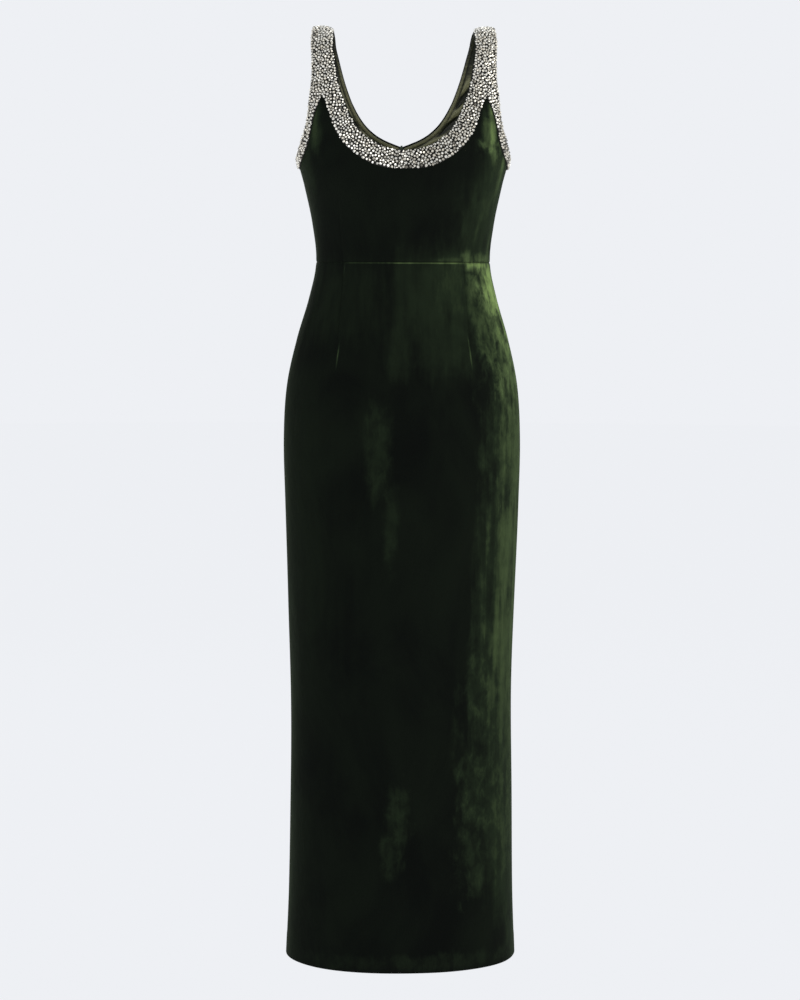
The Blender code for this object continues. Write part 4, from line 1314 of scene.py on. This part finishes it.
def stitched(lines, side):
    """A row of stitches on the facing's inner side, along the neckline and the strap."""
    template = bmesh.new()
    bmesh.ops.create_uvsphere(template, u_segments=6, v_segments=5, radius=0.5)
    lying = Matrix.Rotation(math.pi / 2, 3, "Y")
    bmesh.ops.rotate(template, cent=(0, 0, 0), matrix=lying, verts=template.verts)
    bmesh.ops.scale(template, vec=(STITCH_LENGTH, STITCH_THICK, STITCH_THICK), verts=template.verts)
    mesh = as_mesh(template, "stitch")
    solid = bmesh.new()
    for section in (0, 1):
        low, high = (line[section] for line in lines)
        count = int(high.length / (STITCH_LENGTH + STITCH_GAP))
        share = (np.arange(count) + 0.5) / count
        ends = low(share), high(share)
        width = np.linalg.norm(body_points(*ends[1]) - body_points(*ends[0]), axis=-1)
        runs, angles = ends[1] + (ends[0] - ends[1]) * ((UNDERSTITCH_IN + FACING_INSET) / width)
        angles = angles * side
        normals = outward(runs, angles)
        lift = relief(runs, angles) + facing_relief(drop_of(runs), angles, UNDERSTITCH_IN)
        places = body_points(runs, angles) + normals * (lift + FACING_TOP_LIFT - FACING_THICK)[:, None]
        along = np.gradient(places, axis=0)
        for place, forward, normal in zip(places, along, normals):
            forward, normal = Vector(forward).normalized(), Vector(normal)
            turn = turned_to(forward, normal.cross(forward), normal)
            stamp(solid, mesh, Matrix.Translation(place) @ turn)
    bpy.data.meshes.remove(mesh)
    return solid


COIL_PITCH = 0.00076         # from one side's loop to the other side's next one
COIL_WIRE = 0.00033          # radius of the coil's wire
COIL_LOOP = Vector((0.00145, 0.00085))   # half the loop's width across and half its depth
COIL_OFFSET = 0.0006         # how far each side's loops lie from the middle
COIL_SEAT = 0.00125          # the tape's inner face to the middle of the loops
COIL_END = 0.004             # from the last loop to the tape's end
TAPE_STEP = 0.0016


def coil_solid():
    """The closed coil: loops of wire that pass between each other down the zip."""
    ring = bmesh.new()
    bmesh.ops.create_circle(ring, segments=5, radius=COIL_WIRE)
    bmesh.ops.rotate(ring, cent=(0, 0, 0), matrix=Matrix.Rotation(math.pi / 2, 3, "X"), verts=ring.verts)
    bmesh.ops.translate(ring, vec=(COIL_LOOP.x, 0, 0), verts=ring.verts)
    bmesh.ops.spin(
        ring, geom=ring.edges[:], cent=(0, 0, 0), axis=(0, 0, 1), angle=math.tau, steps=9, use_merge=True
    )
    bmesh.ops.scale(ring, vec=(1.0, COIL_LOOP.y / COIL_LOOP.x, 1.0), verts=ring.verts)
    bmesh.ops.remove_doubles(ring, verts=ring.verts, dist=MERGE)
    bmesh.ops.recalc_face_normals(ring, faces=ring.faces)
    mesh = as_mesh(ring, "loop")
    runs = np.arange(run_of(COIL_TOP_DROP), run_of(ZIP_END_DROP - COIL_END), COIL_PITCH)
    angles = np.full(len(runs), 180.0)
    normals = outward(runs, angles)
    lift = relief(runs, angles) - (VELVET_THICK + INNER_GAP + ZIP_TAPE_THICK + COIL_SEAT)
    places = body_points(runs, angles) + normals * lift[:, None]
    solid = bmesh.new()
    across = Vector((1, 0, 0))
    for number, (place, normal) in enumerate(zip(places, normals)):
        side, out = 1 if number % 2 else -1, Vector(normal)
        middle = Vector(place) + across * side * COIL_OFFSET
        stamp(solid, mesh, Matrix.Translation(middle) @ turned_to(across, out, across.cross(out)))
    bpy.data.meshes.remove(mesh)
    return solid


def add_zip():
    """The zip's tape and coil behind the centre back seam."""
    top_lift = -(VELVET_THICK + INNER_GAP)

    def across(x):
        angle = 180.0 - math.degrees(x / float(measures_at(WAIST_DROP)[0]))
        return [centre_line(angle, ZIP_END_DROP, ZIP_TOP_DROP)]

    lines = guides(across(ZIP_HALF_WIDTH), across(0.0))
    rows = (spread(0.455, CLOTH_STEP, start=True, end=True),)
    columns = (spread(ZIP_HALF_WIDTH, TAPE_STEP, start=True),)
    halves = [Half(lines, columns, rows, side, {"start": 0, "low": 0, "high": 0}) for side in BOTH_SIDES]
    solid = walled(halves, top_lift - ZIP_TAPE_THICK, top_lift)
    made = piece("zip_tape", solid, (TAPE, TAPE), "zip")
    coil = piece("zip_coil", coil_solid(), (TAPE,), "zip")


METAL_EDGE = 0.00022         # how far the slider's edges are rounded
SHARP = math.radians(30)


def rounded_metal(node, name, body):
    """A metal piece of the zip, with the solid's form and rounded edges."""
    solid = bmesh.new()
    solid.from_mesh(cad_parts[node].data)
    bmesh.ops.remove_doubles(solid, verts=solid.verts, dist=MERGE)
    bmesh.ops.dissolve_limit(solid, angle_limit=math.radians(1), verts=solid.verts, edges=solid.edges)
    sharp = [edge for edge in solid.edges if edge.is_manifold and edge.calc_face_angle() > SHARP]
    bmesh.ops.bevel(
        solid, geom=sharp, offset=METAL_EDGE, affect="EDGES", segments=3, profile=0.5, material=-1,
        clamp_overlap=True,
    )
    bmesh.ops.triangulate(solid, faces=solid.faces)
    return piece(name, solid, (METAL,), node, body)


# ---- Stage ---------------------------------------------------------------------------------

PALE = (0.855, 0.871, 0.905, 1.0)
CAMERA_PLACE = Vector((-0.0858, -3.469, -0.347))
CAMERA_PITCH = math.radians(90 - 5.875)
CAMERA_ROLL = math.radians(-0.20)
CAMERA_YAW = math.radians(-1.35)
FOCAL_PIXELS = 2313.0
PHOTO_HEIGHT = 1000.0
SENSOR = 36.0
FLOOR_BELOW_HEM = 0.15
FLOOR_RADIUS = 14.0
FLOOR_GLOW = 0.985
ROOM_LIGHT = (0.80, 0.86, 0.92, 1.0)

Lamp = namedtuple("Lamp", "name place target size power colour", defaults=((1.0, 1.0, 1.0),))
LAMPS = (
    Lamp("key", (2.5, -0.8, 0.2), (0.0, 0.0, -0.5), (1.2, 2.2), 31.0, (1.0, 0.98, 0.93)),
    Lamp("front", (-1.1, -3.1, 1.3), (0.0, 0.0, -0.30), (2.0, 2.0), 35.0),
    Lamp("back", (-0.9, 3.0, 0.9), (0.0, 0.0, -0.65), (2.4, 2.4), 34.0),
    Lamp("left", (-2.4, -1.0, 0.5), (0.0, 0.0, -0.65), (1.4, 2.4), 9.0),
)


def add_camera():
    """The camera, level with the waist, a little to the left and pitched down to the gown's middle."""
    lens = bpy.data.cameras.new("camera")
    lens.sensor_width = SENSOR
    lens.lens = FOCAL_PIXELS / PHOTO_HEIGHT * SENSOR
    camera = bpy.data.objects.new("camera", lens)
    camera.location = CAMERA_PLACE
    camera.rotation_euler = (CAMERA_PITCH, CAMERA_ROLL, CAMERA_YAW)
    bpy.context.scene.collection.objects.link(camera)
    bpy.context.scene.camera = camera


def add_lamp(lamp):
    """A soft rectangular light that faces a point."""
    light = bpy.data.lights.new(lamp.name, "AREA")
    light.shape = "RECTANGLE"
    light.size, light.size_y = lamp.size
    light.energy = lamp.power
    light.color = lamp.colour
    made = bpy.data.objects.new(lamp.name, light)
    made.location = lamp.place
    made.rotation_euler = (Vector(lamp.target) - Vector(lamp.place)).to_track_quat("-Z", "Y").to_euler()
    bpy.context.scene.collection.objects.link(made)


def add_stage():
    """A plain pale floor, a pale surround and soft studio light, strongest from the right."""
    scene = bpy.context.scene
    scene.view_settings.view_transform = "Standard"
    world = bpy.data.worlds.new("studio")
    world.use_nodes = True
    scene.world = world
    nodes = Nodes(world.node_tree)
    seen = nodes.tree.nodes["Background"]
    seen.inputs["Color"].default_value = PALE
    lighting = nodes.add("ShaderNodeBackground", Color=ROOM_LIGHT, Strength=0.36)
    camera_ray = nodes.add("ShaderNodeLightPath").outputs["Is Camera Ray"]
    both = nodes.add("ShaderNodeMixShader", _0=camera_ray, _1=lighting.outputs[0], _2=seen.outputs[0])
    nodes.feed(nodes.tree.nodes["World Output"].inputs["Surface"], both.outputs[0])

    disc = bmesh.new()
    bmesh.ops.create_circle(disc, cap_ends=True, segments=96, radius=FLOOR_RADIUS)
    bmesh.ops.translate(disc, vec=(0, 0, -HEM_DROP - FLOOR_BELOW_HEM), verts=disc.verts)
    mesh = as_mesh(disc, "floor")
    mesh.materials.append(Surface(
        "floor", Base_Color=(0.02, 0.02, 0.02, 1.0), Roughness=0.9, Specular_IOR_Level=0.0,
        Emission_Color=PALE, Emission_Strength=FLOOR_GLOW,
    ).material)
    floor = bpy.data.objects.new("floor", mesh)
    scene.collection.objects.link(floor)
    for lamp in LAMPS:
        add_lamp(lamp)


add_camera()
bands = add_bands()
add_panels()
add_facings()
add_zip()
rounded_metal("zip_slider", "zip_slider_rounded", "dress")
rounded_metal("zip_pull", "zip_pull_rounded", "pull")
add_stage()
